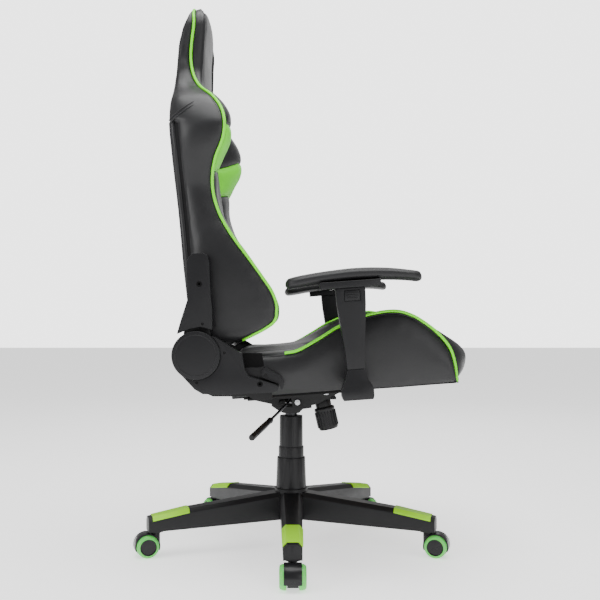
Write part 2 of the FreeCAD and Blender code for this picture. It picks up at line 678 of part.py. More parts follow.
def build_recline():
    """Brackets, gears, pins, caps and covers of the recline joint, and the recline lever."""
    at = Placement(BACK.Base, Rotation())
    gap, thick = dim("bracket_gap"), dim("bracket_thickness")
    upper = gap + thick + 0.6
    gear = upper + thick
    cap = gear + 8
    lowers, uppers, gears, pins, caps, covers, uprights = ([] for _ in range(7))
    for name, side in SIDES.items():
        def through(label, radius, start, length, x=0, z=0):
            y = side * start if side > 0 else -(start + length)
            return cylinder(f"{label}_{name}", radius, length, Vector(x, y, z), LEFT)

        lowers.append(
            cut(
                f"lower_{name}",
                side_plate(f"lower_plate_{name}", LOWER_BRACKET, side, gap, thick),
                through("lower_hole", 8 + PRESS, 200, 200),
                through("lever_pin_hole", 4 + PRESS, 200, 200, LEVER_PIVOT.x, LEVER_PIVOT.z),
            )
        )
        uppers.append(
            cut(
                f"upper_{name}",
                side_plate(f"upper_plate_{name}", UPPER_BRACKET, side, upper, thick),
                through("upper_hole", 8 + PRESS, 200, 200),
                *[
                    through(f"upper_bolt_hole_{i}", 5, 200, 200, x, z)
                    for i, (x, z) in enumerate(HINGE_BOLTS)
                ],
            )
        )
        gears.append(
            cut(
                f"gear_{name}",
                through("gear_out", GEAR_RADIUS, gear, 6),
                through("gear_in", 8 + PRESS, 200, 200),
            )
        )
        pins.append(through("hinge_pin", 8, gap - 3, cap + CAP_DEPTH - CAP_WALL - gap + 3))
        caps.append(
            cut(
                f"cap_{name}",
                through("cap_out", "dims.cap_radius", cap, CAP_DEPTH),
                through("cap_in", dim("cap_radius") - CAP_WALL, cap - 5, CAP_DEPTH + 5 - CAP_WALL),
            )
        )
        stock = side_plate(f"cover_stock_{name}", SIDE_COVER, side, gap + thick + 1, 24)
        inside = extrusion(
            f"cover_hollow_{name}",
            [
                (-34, -28), (0, -60), (16, -73), (60, -74), (148, -70), (158, -66), (146, -58),
                (104, -46), (94, -31), (88, 3), (50, 25), (38, 33), (0, 43), (-37, 22),
            ],
            side * (gap + thick + 1 + 21.5 / 2 - 1),
            23.5,
        )
        recess = through("cap_recess", dim("cap_radius") + 0.5, gap - 20, 60)
        covers.append(cut(f"cover_{name}", stock, inside, recess))
        upright_stock = side_plate(f"upright_stock_{name}", UPRIGHT_COVER, side, gap + 1, 21)
        upright_hollow = extrusion(
            f"upright_hollow_{name}",
            UPRIGHT_HOLLOW,
            side * (gap + 1 + 18.5 / 2 - 1),
            20.5,
        )
        uprights.append(cut(f"upright_{name}", upright_stock, upright_hollow))
    sub_part("recline_brackets_lower", group("lower_pair", *lowers), at)
    lever_pin = through("lever_pin", 4, gap, thick + 3 + LEVER_WIDTH, LEVER_PIVOT.x, LEVER_PIVOT.z)
    pins.append(lever_pin)
    sub_part("recline_gears", group("gear_pair", *gears), BACK)
    sub_part("recline_pins", group("pin_pair", *pins), at)
    sub_part("hinge_caps", group("cap_pair", *caps), at)
    sub_part("side_covers", group("cover_pair", *covers), at)
    sub_part("recline_brackets_upper", group("upper_pair", *uppers), BACK)
    sub_part("upright_covers", group("upright_pair", *uprights), BACK)

    lever_start = gap + thick + 3
    lever = side_plate("lever_stock", LEVER_OUTLINE, -1, lever_start, LEVER_WIDTH)
    lever_bore = through("lever_bore", 4 + PRESS, 200, 200, LEVER_PIVOT.x, LEVER_PIVOT.z)
    sub_part("recline_lever", cut("lever", lever, lever_bore), at)


# --- backrest ------------------------------------------------------------------------------------

# height, rear face x, centre front x, piping x, piping y and rear edge y of the backrest
BACK_SECTIONS = (
    (13, -12.5, 58, 68, 236, 214),
    (27, -12.5, 62, 120, 246, 216),
    (45, -12.5, 64, 156, 250, 218),
    (74, -12.5, 66, 168, 252, 220),
    (107, -12.5, 66, 164, 252, 220),
    (146, -12.5, 66, 146, 250, 219),
    (209, -12.5, 64, 108, 246, 216),
    (286, -12.5, 60, 72, 234, 210),
    (345, -12.5, 56, 65, 228, 206),
    (397, -12.5, 54, 78, 244, 208),
    (464, -12.5, 54, 104, 258, 214),
    (500, -11, 56, 99, 248, 208),
    (532, -5, 58, 82, 216, 196),
    (563, 1, 62, 60, 180, 170),
    (598, 6, 68, 47, 152, 146),
    (655, 16, 76, 46, 142, 136),
    (719, 36, 84, 56, 134, 128),
    (740, 45, 84, 56, 119, 113),
    (752, 50, 82, 56, 103, 98),
)
FRAME_BAR = 12
FRAME_X = 6
CHANNEL = 0.4  # room round the frame in the foam
FRAME_SIDE, FRAME_HEAD = 196, 88
FRAME_LOW, FRAME_MID, FRAME_SHOULDER, FRAME_TOP = 40, 250, 470, 575


def frame_bars(name, grow):
    """The welded frame in the backrest: two posts, three cross bars and a head hoop."""
    bar = FRAME_BAR + 2 * grow

    def rung(label, y0, y1, z):
        return box(
            f"{name}_{label}", bar, y1 - y0 + bar, bar,
            Vector(FRAME_X - grow, y0 - bar / 2, z - bar / 2),
        )

    def post(label, y, z0, z1, x=FRAME_X):
        return box(
            f"{name}_{label}", bar, bar, z1 - z0 + bar,
            Vector(x - grow, y - bar / 2, z0 - bar / 2),
        )

    bars = [rung(f"rung_{z}", -FRAME_SIDE, FRAME_SIDE, z) for z in (FRAME_LOW, FRAME_MID, FRAME_SHOULDER)]
    for label, side in SIDES.items():
        bars.append(post(f"post_{label}", side * FRAME_SIDE, FRAME_LOW, FRAME_SHOULDER))
        head = post(f"head_{label}", side * FRAME_HEAD, FRAME_SHOULDER, FRAME_TOP)
        bars.append(head)
    bars.append(rung("rung_top", -FRAME_HEAD, FRAME_HEAD, FRAME_TOP))
    return fuse(name, *bars)


def build_back():
    """Frame, centre panel, side bolsters and bolts of the backrest."""
    frame = frame_bars("back_frame_bars", 0)
    bolt_holes, bolts = [], []
    for name, side in SIDES.items():
        for i, (x, z) in enumerate(HINGE_BOLTS):
            start = FRAME_SIDE + FRAME_BAR / 2
            end = dim("bracket_gap") + 14
            y = start if side > 0 else -end
            bolts.append(
                cylinder(f"back_bolt_{name}_{i}", 4.5, end - start, Vector(x, y, z), LEFT)
            )
            y = side * start if side > 0 else -(start + 80)
            bolt_holes.append(
                cylinder(f"bolster_hole_{name}_{i}", 5.5, 80, Vector(x, y, z), LEFT)
            )
    sub_part("back_bolts", group("back_bolt_group", *bolts), BACK)
    sub_part("back_frame", frame, BACK)

    inner = dim("back_centre_half")
    rear = [(r, z) for z, r, *_ in BACK_SECTIONS]
    front = [(f, z) for z, _, f, *_ in BACK_SECTIONS]
    crown = [(76, 764), (62, 768)]
    stock = extrusion("back_centre", rear + crown[::-1] + front[::-1], 0, "2 * dims.back_centre_half")
    corners = [
        loft(
            f"head_corner_{name}",
            *[[(x, side * 118, 741), (x, side * 118, 790), (x, side * 34, 790)] for x in (-60, 130)],
        )
        for name, side in SIDES.items()
    ]
    centre = cut("back_centre_cut", stock, frame_bars("centre_channel", CHANNEL), *corners)
    sub_part("back_cushion", centre, BACK)
    wings = []
    for name, side in SIDES.items():
        loops = [
            [(r, side * inner, z), (f, side * inner, z), (p, side * py, z), (r, side * ry, z)]
            for z, r, f, p, py, ry in BACK_SECTIONS
        ]
        wing = loft(f"wing_{name}", *loops)
        channel = frame_bars(f"channel_{name}", CHANNEL)
        holes = [h for h in bolt_holes if f"_{name}_" in h.Name]
        wings.append(cut(f"wing_cut_{name}", wing, channel, *holes))
    sub_part("back_bolsters", group("wing_pair", *wings), BACK)


# --- armrests ------------------------------------------------------------------------------------

# height, length and width of the arm socket's sections
CUP_SECTIONS = ((5, 58, 40), (12, 62, 44), (24, 62, 44), (34, 56, 38), (44, 44, 30), (64, 35, 27))
SLEEVE_TOP = 224
# height, length and width of the arm sleeve's sections
SLEEVE_SECTIONS = (
    (65, 33.6, 26), (105, 38.5, 30), (150, 48, 36), (190, 55, 41), (216, 57, 42), (SLEEVE_TOP, 57, 42),
)
POST_TOP = 176
PAD_PLATE = (118, 60, 13)
PAD_OUTLINE = (  # side outline of the arm pad, from the rear foot round
    (6, 229), (60, 235), (138, 238), (216, 235), (268, 228), (273, 236), (268, 246),
    (216, 257), (138, 262), (60, 258), (10, 251), (3, 240),
)
ROOF = 6
BUTTON_FOOT = 199


def build_arm(name, side):
    """The parts of one armrest, drawn in the seat frame."""
    x, y = dim("arm_forward"), side * dim("arm_offset")
    length, width = dim("post_length"), dim("post_width")
    bar_in, bar_out = 130, dim("arm_offset") + width / 2
    bar_y = bar_in if side > 0 else -bar_out
    holes = [
        cylinder(f"bar_hole_{name}_{i}", 4 + SMALL_PLAY, 20, Vector(x, side * spot, SEAT_FOOT - 10))
        for i, spot in enumerate(ARM_BOLTS)
    ]
    bar_foot = SEAT_FOOT - ARM_BAR
    bar = box(f"bar_{name}", 40, bar_out - bar_in, ARM_BAR, Vector(x - 20, bar_y, bar_foot))
    post = box(
        f"post_{name}", "dims.post_length", "dims.post_width", POST_TOP - bar_foot,
        Vector(x - length / 2, y - width / 2, bar_foot),
    )
    bracket = cut(f"bracket_{name}", fuse(f"bracket_stock_{name}", bar, post), *holes)
    cup = cut(
        f"socket_{name}",
        loft(
            f"socket_stock_{name}",
            *[rectangle(long, wide, height, (x, y)) for height, long, wide in CUP_SECTIONS],
        ),
        box(
            f"socket_post_{name}", length + 1, width + 1, 120,
            Vector(x - length / 2 - 0.5, y - width / 2 - 0.5, -40),
        ),
        box(
            f"socket_bar_{name}", 41, 80.5, SEAT_FOOT + 20.5,
            Vector(x - 20.5, y - 70 if side > 0 else y - 10.5, -20),
        ),
    )
    at = (x, y)
    play = 0.5
    sleeve = cut(
        f"sleeve_{name}",
        loft(
            f"sleeve_stock_{name}",
            *[rectangle(long, wide, height, at) for height, long, wide in SLEEVE_SECTIONS],
        ),
        box(
            f"sleeve_bore_{name}", length + 2 * play, width + 2 * play, SLEEVE_TOP - ROOF,
            Vector(x - length / 2 - play, y - width / 2 - play, 0),
        ),
        box(
            f"button_seat_{name}", 31, 6.6, 21,
            Vector(x - 13.5, y + side * 21 - (6.6 if side > 0 else 0), BUTTON_FOOT - 0.5),
        ),
        cylinder(f"swivel_seat_{name}", 5 + PRESS, 30, Vector(x, y, SLEEVE_TOP - ROOF - 1)),
    )
    button = box(
        f"button_{name}", 30, 5, 20,
        Vector(x - 13, y + side * 22.5 - (5 if side > 0 else 0), BUTTON_FOOT),
    )
    plate_length, plate_width, plate_thick = PAD_PLATE
    plate_z = SLEEVE_TOP + 0.6
    plate = fuse(
        f"pad_plate_{name}",
        box(
            f"pad_plate_flat_{name}", plate_length, plate_width, plate_thick,
            Vector(x - plate_length / 2, y - plate_width / 2, plate_z),
        ),
        cylinder(f"pad_pivot_{name}", 5, plate_z - SLEEVE_TOP + 5, Vector(x, y, SLEEVE_TOP - 5)),
    )
    pad = cut(
        f"pad_{name}",
        extrusion(f"pad_stock_{name}", PAD_OUTLINE, side * (dim("arm_offset") - 18), "dims.pad_width"),
        box(
            f"pad_recess_{name}", plate_length + 2, plate_width + 2, 40,
            Vector(x - plate_length / 2 - 1, y - plate_width / 2 - 1, plate_z + plate_thick - 40),
        ),
    )
    return {"bracket": bracket, "socket": cup, "sleeve": sleeve, "button": button, "plate": plate, "pad": pad}


def build_arms():
    """Both armrests: brackets and socket covers in shared nodes, moving parts each in their own."""
    arms = {name: build_arm(name, side) for name, side in SIDES.items()}
    sub_part("arm_brackets", group("bracket_pair", *[a["bracket"] for a in arms.values()]), SEAT)
    sub_part("arm_sockets", group("socket_pair", *[a["socket"] for a in arms.values()]), SEAT)
    for name, arm in arms.items():
        for piece in ("sleeve", "button", "plate", "pad"):
            label = {"plate": "pad_plate"}.get(piece, piece)
            sub_part(f"arm_{label}_{name}", arm[piece], SEAT)


def write_parts(folder="parts"):
    """Checks every object and sub-part, then writes one STEP file for each sub-part."""
    doc.recompute()
    for made in doc.Objects:
        if {"Invalid", "Error"} & set(made.State):
            raise RuntimeError(f"{made.Name} failed: {made.State}")
    os.makedirs(folder, exist_ok=True)
    for old in os.listdir(folder):
        os.remove(os.path.join(folder, old))
    for made in sub_parts:
        shape = made.Shape
        if shape.isNull() or not shape.isValid() or not shape.Solids:
            raise RuntimeError(f"{made.Label} has no valid solid")
        shape.exportStep(os.path.join(folder, f"{made.Label}.step"))
        print(f"{made.Label:26s} solids {len(shape.Solids)}  cm3 {shape.Volume / 1000:9.2f}")
    print(f"{len(sub_parts)} sub-parts")


build_base()
for caster in range(int(dim("leg_count"))):
    build_caster(caster)
build_lift()
build_mechanism()
build_lever()
build_seat()
build_recline()
build_back()
build_arms()
write_parts()
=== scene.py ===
"""Racing-style gaming chair: upholstery, piping, trims, fasteners and finishes around the CAD frame.

Every piece is built in the chair's own frame, in metres: +X the sitter's forward, +Y the sitter's
left, +Z up, with the origin on the floor under the gas lift. The builders draw in millimetres in
a seat frame or a back frame, and a Lean carries their points into the chair.
"""

import logging
import math
from contextlib import contextmanager
from dataclasses import dataclass, field
from enum import Enum
from functools import partial
from typing import Dict, Iterable, List, Optional, Sequence, Tuple, Union

import bmesh
import bpy
import numpy as np
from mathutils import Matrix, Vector, noise


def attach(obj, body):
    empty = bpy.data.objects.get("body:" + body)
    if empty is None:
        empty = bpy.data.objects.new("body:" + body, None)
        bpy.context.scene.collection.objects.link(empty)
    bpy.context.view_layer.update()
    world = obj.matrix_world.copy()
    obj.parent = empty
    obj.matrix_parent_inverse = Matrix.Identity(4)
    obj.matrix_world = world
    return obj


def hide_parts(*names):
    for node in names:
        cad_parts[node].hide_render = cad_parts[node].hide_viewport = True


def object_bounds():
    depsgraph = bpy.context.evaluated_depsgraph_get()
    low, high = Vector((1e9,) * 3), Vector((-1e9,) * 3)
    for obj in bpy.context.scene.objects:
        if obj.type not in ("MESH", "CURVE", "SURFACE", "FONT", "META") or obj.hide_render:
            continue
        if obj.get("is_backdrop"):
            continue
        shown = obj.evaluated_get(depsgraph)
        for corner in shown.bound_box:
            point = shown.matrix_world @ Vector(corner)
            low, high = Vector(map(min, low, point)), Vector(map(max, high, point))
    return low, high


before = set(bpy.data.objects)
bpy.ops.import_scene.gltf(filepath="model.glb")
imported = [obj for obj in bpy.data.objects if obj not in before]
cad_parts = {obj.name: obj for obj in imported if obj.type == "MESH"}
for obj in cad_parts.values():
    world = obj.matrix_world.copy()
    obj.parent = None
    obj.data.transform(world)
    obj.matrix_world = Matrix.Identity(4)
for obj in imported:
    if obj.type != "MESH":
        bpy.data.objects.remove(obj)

logging.basicConfig(level=logging.INFO, format="%(message)s")
log = logging.getLogger("chair")

Array = np.ndarray
Point = Tuple[float, float, float]
MM = 0.001


# --- places --------------------------------------------------------------------------------------


class Side(Enum):
    """A side of the chair, and the sign of Y on it."""

    LEFT = 1
    RIGHT = -1

    @property
    def word(self) -> str:
        """The side's name in lower case."""
        return self.name.lower()


@dataclass(frozen=True)
class Lean:
    """A local frame, raised and leaning back about the sideways axis."""

    origin: Point = (0.0, 0.0, 0.0)
    degrees: float = 0.0

    def world(self, points: Union[Array, Sequence]) -> Array:
        """Carries local points into the chair.

        Args:
            points: local points in millimetres, in any array shape whose last axis is 3.

        Returns:
            The same points in the chair's frame, in metres.
        """
        p = np.asarray(points, float)
        c, s = math.cos(math.radians(self.degrees)), math.sin(math.radians(self.degrees))
        x = self.origin[0] + p[..., 0] * c - p[..., 2] * s
        z = self.origin[2] + p[..., 0] * s + p[..., 2] * c
        return np.stack([x, p[..., 1] + self.origin[1], z], axis=-1) * MM


SEAT = Lean((0.0, 0.0, 352.0), 4.2)
BACK = Lean((-193.0, 0.0, 451.0), 6.0)
HINGE = Lean((-193.0, 0.0, 451.0), 0.0)


# --- curves and meshes ---------------------------------------------------------------------------


def hermite(knots: Sequence[float], values: Array, at: Array) -> Array:
    """Smooth curve through values at knots, read at other places along it.

    Args:
        knots: rising positions.
        values: one row for each knot.
        at: positions to read.

    Returns:
        One row for each position.
    """
    k = np.asarray(knots, float)
    v = np.asarray(values, float)
    if v.ndim == 1:
        v = v[:, None]
    step = np.diff(k)
    slope = np.diff(v, axis=0) / step[:, None]
    tangent = np.empty_like(v)
    tangent[0], tangent[-1] = slope[0], slope[-1]
    weight = step[:-1, None] + step[1:, None]
    tangent[1:-1] = (slope[:-1] * step[1:, None] + slope[1:] * step[:-1, None]) / weight
    a = np.clip(np.asarray(at, float), k[0], k[-1])
    i = np.clip(np.searchsorted(k, a, side="right") - 1, 0, len(k) - 2)
    h = step[i]
    t = ((a - k[i]) / h)[:, None]
    h = h[:, None]
    return (
        (2 * t**3 - 3 * t**2 + 1) * v[i]
        + (t**3 - 2 * t**2 + t) * h * tangent[i]
        + (3 * t**2 - 2 * t**3) * v[i + 1]
        + (t**3 - t**2) * h * tangent[i + 1]
    )


def smooth_path(points: Sequence, count: int) -> Array:
    """A smooth curve through points, as evenly spaced points."""
    p = np.asarray(points, float)
    chord = np.r_[0, np.cumsum(np.linalg.norm(np.diff(p, axis=0), axis=1))]
    fine = hermite(chord, p, np.linspace(0, chord[-1], count * 4))
    run = np.r_[0, np.cumsum(np.linalg.norm(np.diff(fine, axis=0), axis=1))]
    even = np.linspace(0, run[-1], count)
    return np.stack([np.interp(even, run, fine[:, i]) for i in range(p.shape[1])], axis=1)


def bend(start: Array, control: Array, end: Array, t: Array) -> Array:
    """Rows of quadratic curves, one for each start, control and end point."""
    u = t[None, :, None]
    return (
        (1 - u) ** 2 * start[:, None, :]
        + 2 * u * (1 - u) * control[:, None, :]
        + u**2 * end[:, None, :]
    )


def grid_normals(grid: Array) -> Array:
    """Unit normals of a grid of points."""
    across = np.gradient(grid, axis=1)
    along = np.gradient(grid, axis=0)
    n = np.cross(along, across)
    return n / np.maximum(np.linalg.norm(n, axis=2, keepdims=True), 1e-12)


def run_lengths(grid: Array, axis: int) -> Array:
    """Distance walked along one axis of a grid, from its first edge."""
    step = np.linalg.norm(np.diff(grid, axis=axis), axis=2)
    zero = np.zeros_like(np.take(step, [0], axis=axis))
    return np.cumsum(np.concatenate([zero, step], axis=axis), axis=axis)


def linked(name: str, mesh):
    """An object for a mesh, in the scene."""
    made = bpy.data.objects.new(name, mesh)
    bpy.context.scene.collection.objects.link(made)
    return made


@contextmanager
def edited(mesh):
    """Opens a mesh for editing, and writes it back at the end."""
    work = bmesh.new()
    work.from_mesh(mesh)
    yield work
    work.to_mesh(mesh)
    work.free()


def add_node(tree, kind: str, settings: Dict, inputs: Dict):
    """Adds a node to a tree.

    Args:
        tree: the node tree.
        kind: the node's type.
        settings: attribute values.
        inputs: socket index or name to a value or to another node's socket.

    Returns:
        The node.
    """
    made = tree.nodes.new(kind)
    for key, value in settings.items():
        setattr(made, key, value)
    for key, value in inputs.items():
        if isinstance(value, bpy.types.NodeSocket):
            tree.links.new(value, made.inputs[key])
        else:
            made.inputs[key].default_value = value
    return made


def new_mesh(name: str, verts: Array, faces: List[Tuple[int, ...]], smooth: bool = True):
    """A mesh object at the origin.

    Args:
        name: the piece's name.
        verts: points in metres.
        faces: loops of point indices.
        smooth: whether its faces are shaded smooth.

    Returns:
        The linked object.
    """
    mesh = bpy.data.meshes.new(name)
    mesh.from_pydata([tuple(v) for v in np.asarray(verts).reshape(-1, 3)], [], faces)
    mesh.validate()
    with edited(mesh) as work:
        bmesh.ops.remove_doubles(work, verts=work.verts, dist=2e-6)
        bmesh.ops.recalc_face_normals(work, faces=work.faces)
    mesh.polygons.foreach_set("use_smooth", [smooth] * len(mesh.polygons))
    return linked(name, mesh)


def quads(rows: int, columns: int, first: int = 0, wrap: bool = False) -> List[Tuple[int, ...]]:
    """Faces of a grid of points that are numbered row by row."""
    faces = []
    for r in range(rows - 1):
        for c in range(columns if wrap else columns - 1):
            n = (c + 1) % columns
            a, b = first + r * columns, first + (r + 1) * columns
            faces.append((a + c, a + n, b + n, b + c))
    return faces


def shell(name: str, outer: Array, normals: Array, thickness: float):
    """A closed sheet: a grid, a second grid below it and a strip round their edges."""
    rows, columns = outer.shape[:2]
    inner = outer - normals * thickness
    size = rows * columns
    faces = quads(rows, columns)
    faces += [tuple(size + i for i in reversed(f)) for f in quads(rows, columns)]
    rim = [c for c in range(columns)]
    rim += [r * columns + columns - 1 for r in range(1, rows)]
    rim += [(rows - 1) * columns + c for c in range(columns - 2, -1, -1)]
    rim += [r * columns for r in range(rows - 2, 0, -1)]
    for a, b in zip(rim, rim[1:] + rim[:1]):
        faces.append((a, b, size + b, size + a))
    return new_mesh(name, np.concatenate([outer.reshape(-1, 3), inner.reshape(-1, 3)]), faces)


def lattice(name: str, loops: Array, smooth: bool = True):
    """A closed skin through equal closed loops of points, with its two ends closed."""
    rows, columns = loops.shape[:2]
    faces = quads(rows, columns, wrap=True)
    faces.append(tuple(range(columns - 1, -1, -1)))
    faces.append(tuple((rows - 1) * columns + c for c in range(columns)))
    return new_mesh(name, loops.reshape(-1, 3), faces, smooth)


def tube(name: str, path: Array, radius: Union[float, Array], sides: int = 12):
    """A round cord swept along a path of points in metres."""
    p = np.asarray(path, float)
    tangent = np.gradient(p, axis=0)
    tangent /= np.maximum(np.linalg.norm(tangent, axis=1, keepdims=True), 1e-12)
    start = Vector(tangent[0]).orthogonal().normalized()
    normal = np.array(start)
    loops = []
    radii = np.broadcast_to(radius, (len(p),))
    turn = np.linspace(0, 2 * math.pi, sides, endpoint=False)
    for here, ahead, r in zip(p, tangent, radii):
        normal = normal - ahead * float(normal @ ahead)
        normal /= np.linalg.norm(normal)
        side = np.cross(ahead, normal)
        loops.append(here + r * (np.cos(turn)[:, None] * normal + np.sin(turn)[:, None] * side))
    return lattice(name, np.array(loops))


def lathe(
    name: str, outline: Sequence[Tuple[float, float]], start: Array, axis: Array, sides: int = 64
):
    """A turned piece.

    Args:
        name: the piece's name.
        outline: closed loop of (radius, distance along the axis) in millimetres.
        start: a point on the axis, in metres.
        axis: the axis's direction.
        sides: facets round the axis.

    Returns:
        The piece.
    """
    a = np.asarray(axis, float) / np.linalg.norm(axis)
    u = np.array(Vector(a).orthogonal().normalized())
    v = np.cross(a, u)
    turn = np.linspace(0, 2 * math.pi, sides, endpoint=False)
    ring = np.cos(turn)[:, None] * u + np.sin(turn)[:, None] * v
    rows = [np.asarray(start) + (r * ring + d * a) * MM for r, d in outline]
    loops = np.array(rows + rows[:1])
    made = new_mesh(name, loops.reshape(-1, 3), quads(len(loops), sides, wrap=True))
    shade_by_angle(made, 40)
    return made


def shade_by_angle(made, degrees: float = 35) -> None:
    """Smooth shading, with the edges sharper than an angle kept crisp."""
    mesh = made.data
    mesh.polygons.foreach_set("use_smooth", [True] * len(mesh.polygons))
    limit = math.radians(degrees)
    with edited(mesh) as work:
        for edge in work.edges:
            edge.smooth = len(edge.link_faces) == 2 and edge.calc_face_angle(0) < limit


def settled(made):
    """The piece with its modifiers worked into a plain mesh."""
    graph = bpy.context.evaluated_depsgraph_get()
    mesh = bpy.data.meshes.new_from_object(made.evaluated_get(graph), depsgraph=graph)
    made.modifiers.clear()
    old = made.data
    made.data = mesh
    mesh.name = made.name
    bpy.data.meshes.remove(old)
    return made


def joined(name: str, pieces: Sequence):
    """Several meshes as one piece."""
    mesh = bpy.data.meshes.new(name)
    with edited(mesh) as work:
        for piece in pieces:
            work.from_mesh(piece.data)
    for piece in pieces:
        old = piece.data
        bpy.data.objects.remove(piece)
        bpy.data.meshes.remove(old)
    return linked(name, mesh)


def eased(node: str, width: float, segments: int = 3, angle: float = 32):
    """A copy of a CAD node with its edges rounded over, to stand for the node.

    Args:
        node: the CAD node.
        width: how far the rounding reaches from an edge, in millimetres.
        segments: facets across a rounding.
        angle: the least bend, in degrees, that counts as an edge.

    Returns:
        The copy, a plain mesh.
    """
    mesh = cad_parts[node].data.copy()
    made = linked(f"{node}_skin", mesh)
    flat = math.radians(1.0)
    with edited(mesh) as work:
        bmesh.ops.remove_doubles(work, verts=work.verts, dist=1e-6)
        bmesh.ops.dissolve_limit(work, angle_limit=flat, verts=work.verts, edges=work.edges)
    rounding = made.modifiers.new("rounding", "BEVEL")
    rounding.width = width * MM
    rounding.segments = segments
    rounding.limit_method = "ANGLE"
    rounding.angle_limit = math.radians(angle)
    rounding.harden_normals = False
    rounding.use_clamp_overlap = True
    settled(made)
    shade_by_angle(made, 28)
    return made


# --- finishes ------------------------------------------------------------------------------------


class Socket:
    """A shader socket that works in plain arithmetic."""

    def __init__(self, shader: "Shader", link) -> None:
        self.shader = shader
        self.link = link

    def _math(self, operation: str, *others) -> "Socket":
        values = dict(enumerate((self,) + others))
        return self.shader.node("ShaderNodeMath", {"operation": operation}, values)

    def __add__(self, other) -> "Socket":
        return self._math("ADD", other)

    def __sub__(self, other) -> "Socket":
        return self._math("SUBTRACT", other)

    def __mul__(self, other) -> "Socket":
        return self._math("MULTIPLY", other)

    def __lt__(self, other) -> "Socket":
        return self._math("LESS_THAN", other)

    def fract(self) -> "Socket":
        """The part after the decimal point."""
        return self._math("FRACT")

    def sine(self) -> "Socket":
        """The sine, in radians."""
        return self._math("SINE")

    def clamped(self) -> "Socket":
        """Held between 0 and 1."""
        return self.shader.node("ShaderNodeClamp", {}, {0: self})

    def part(self, index: int) -> "Socket":
        """One coordinate of a vector."""
        return self.shader.node("ShaderNodeSeparateXYZ", {}, {0: self}, output=index)


class Grain(Enum):
    """How a surface is patterned up close."""

    LEATHER = "leather"
    PERFORATED = "perforated"
    MOULDED = "moulded"
    SMOOTH = "smooth"
    BRUSHED = "brushed"
    WOVEN = "woven"
    WOOD = "wood"


@dataclass(frozen=True)
class Finish:
    """A procedural finish.

    Attributes:
        name: the material's name.
        slot: the record's material slot; not used.
        colour: base colour, linear.
        grain: the surface's pattern.
        rough: mean roughness.
        spread: how far the roughness wanders.
        shift: how far the colour wanders, as a share.
        relief: strength of the bump.
        depth: height of the bump, in millimetres.
        metal: metallic share.
        coat: clear coat.
        soft: light that passes under the skin.
        shine: strength of the reflection from a coating.
        glow: light given off.
    """

    name: str
    slot: str
    colour: Point
    grain: Grain
    rough: float
    spread: float = 0.08
    shift: float = 0.15
    relief: float = 0.4
    depth: float = 0.3
    metal: float = 0.0
    coat: float = 0.0
    soft: float = 0.0
    shine: float = 0.32
    glow: float = 0.0

    def made(self):
        """The material, built the first time it is asked for."""
        found = bpy.data.materials.get(self.name)
        return found or Shader(self).build()


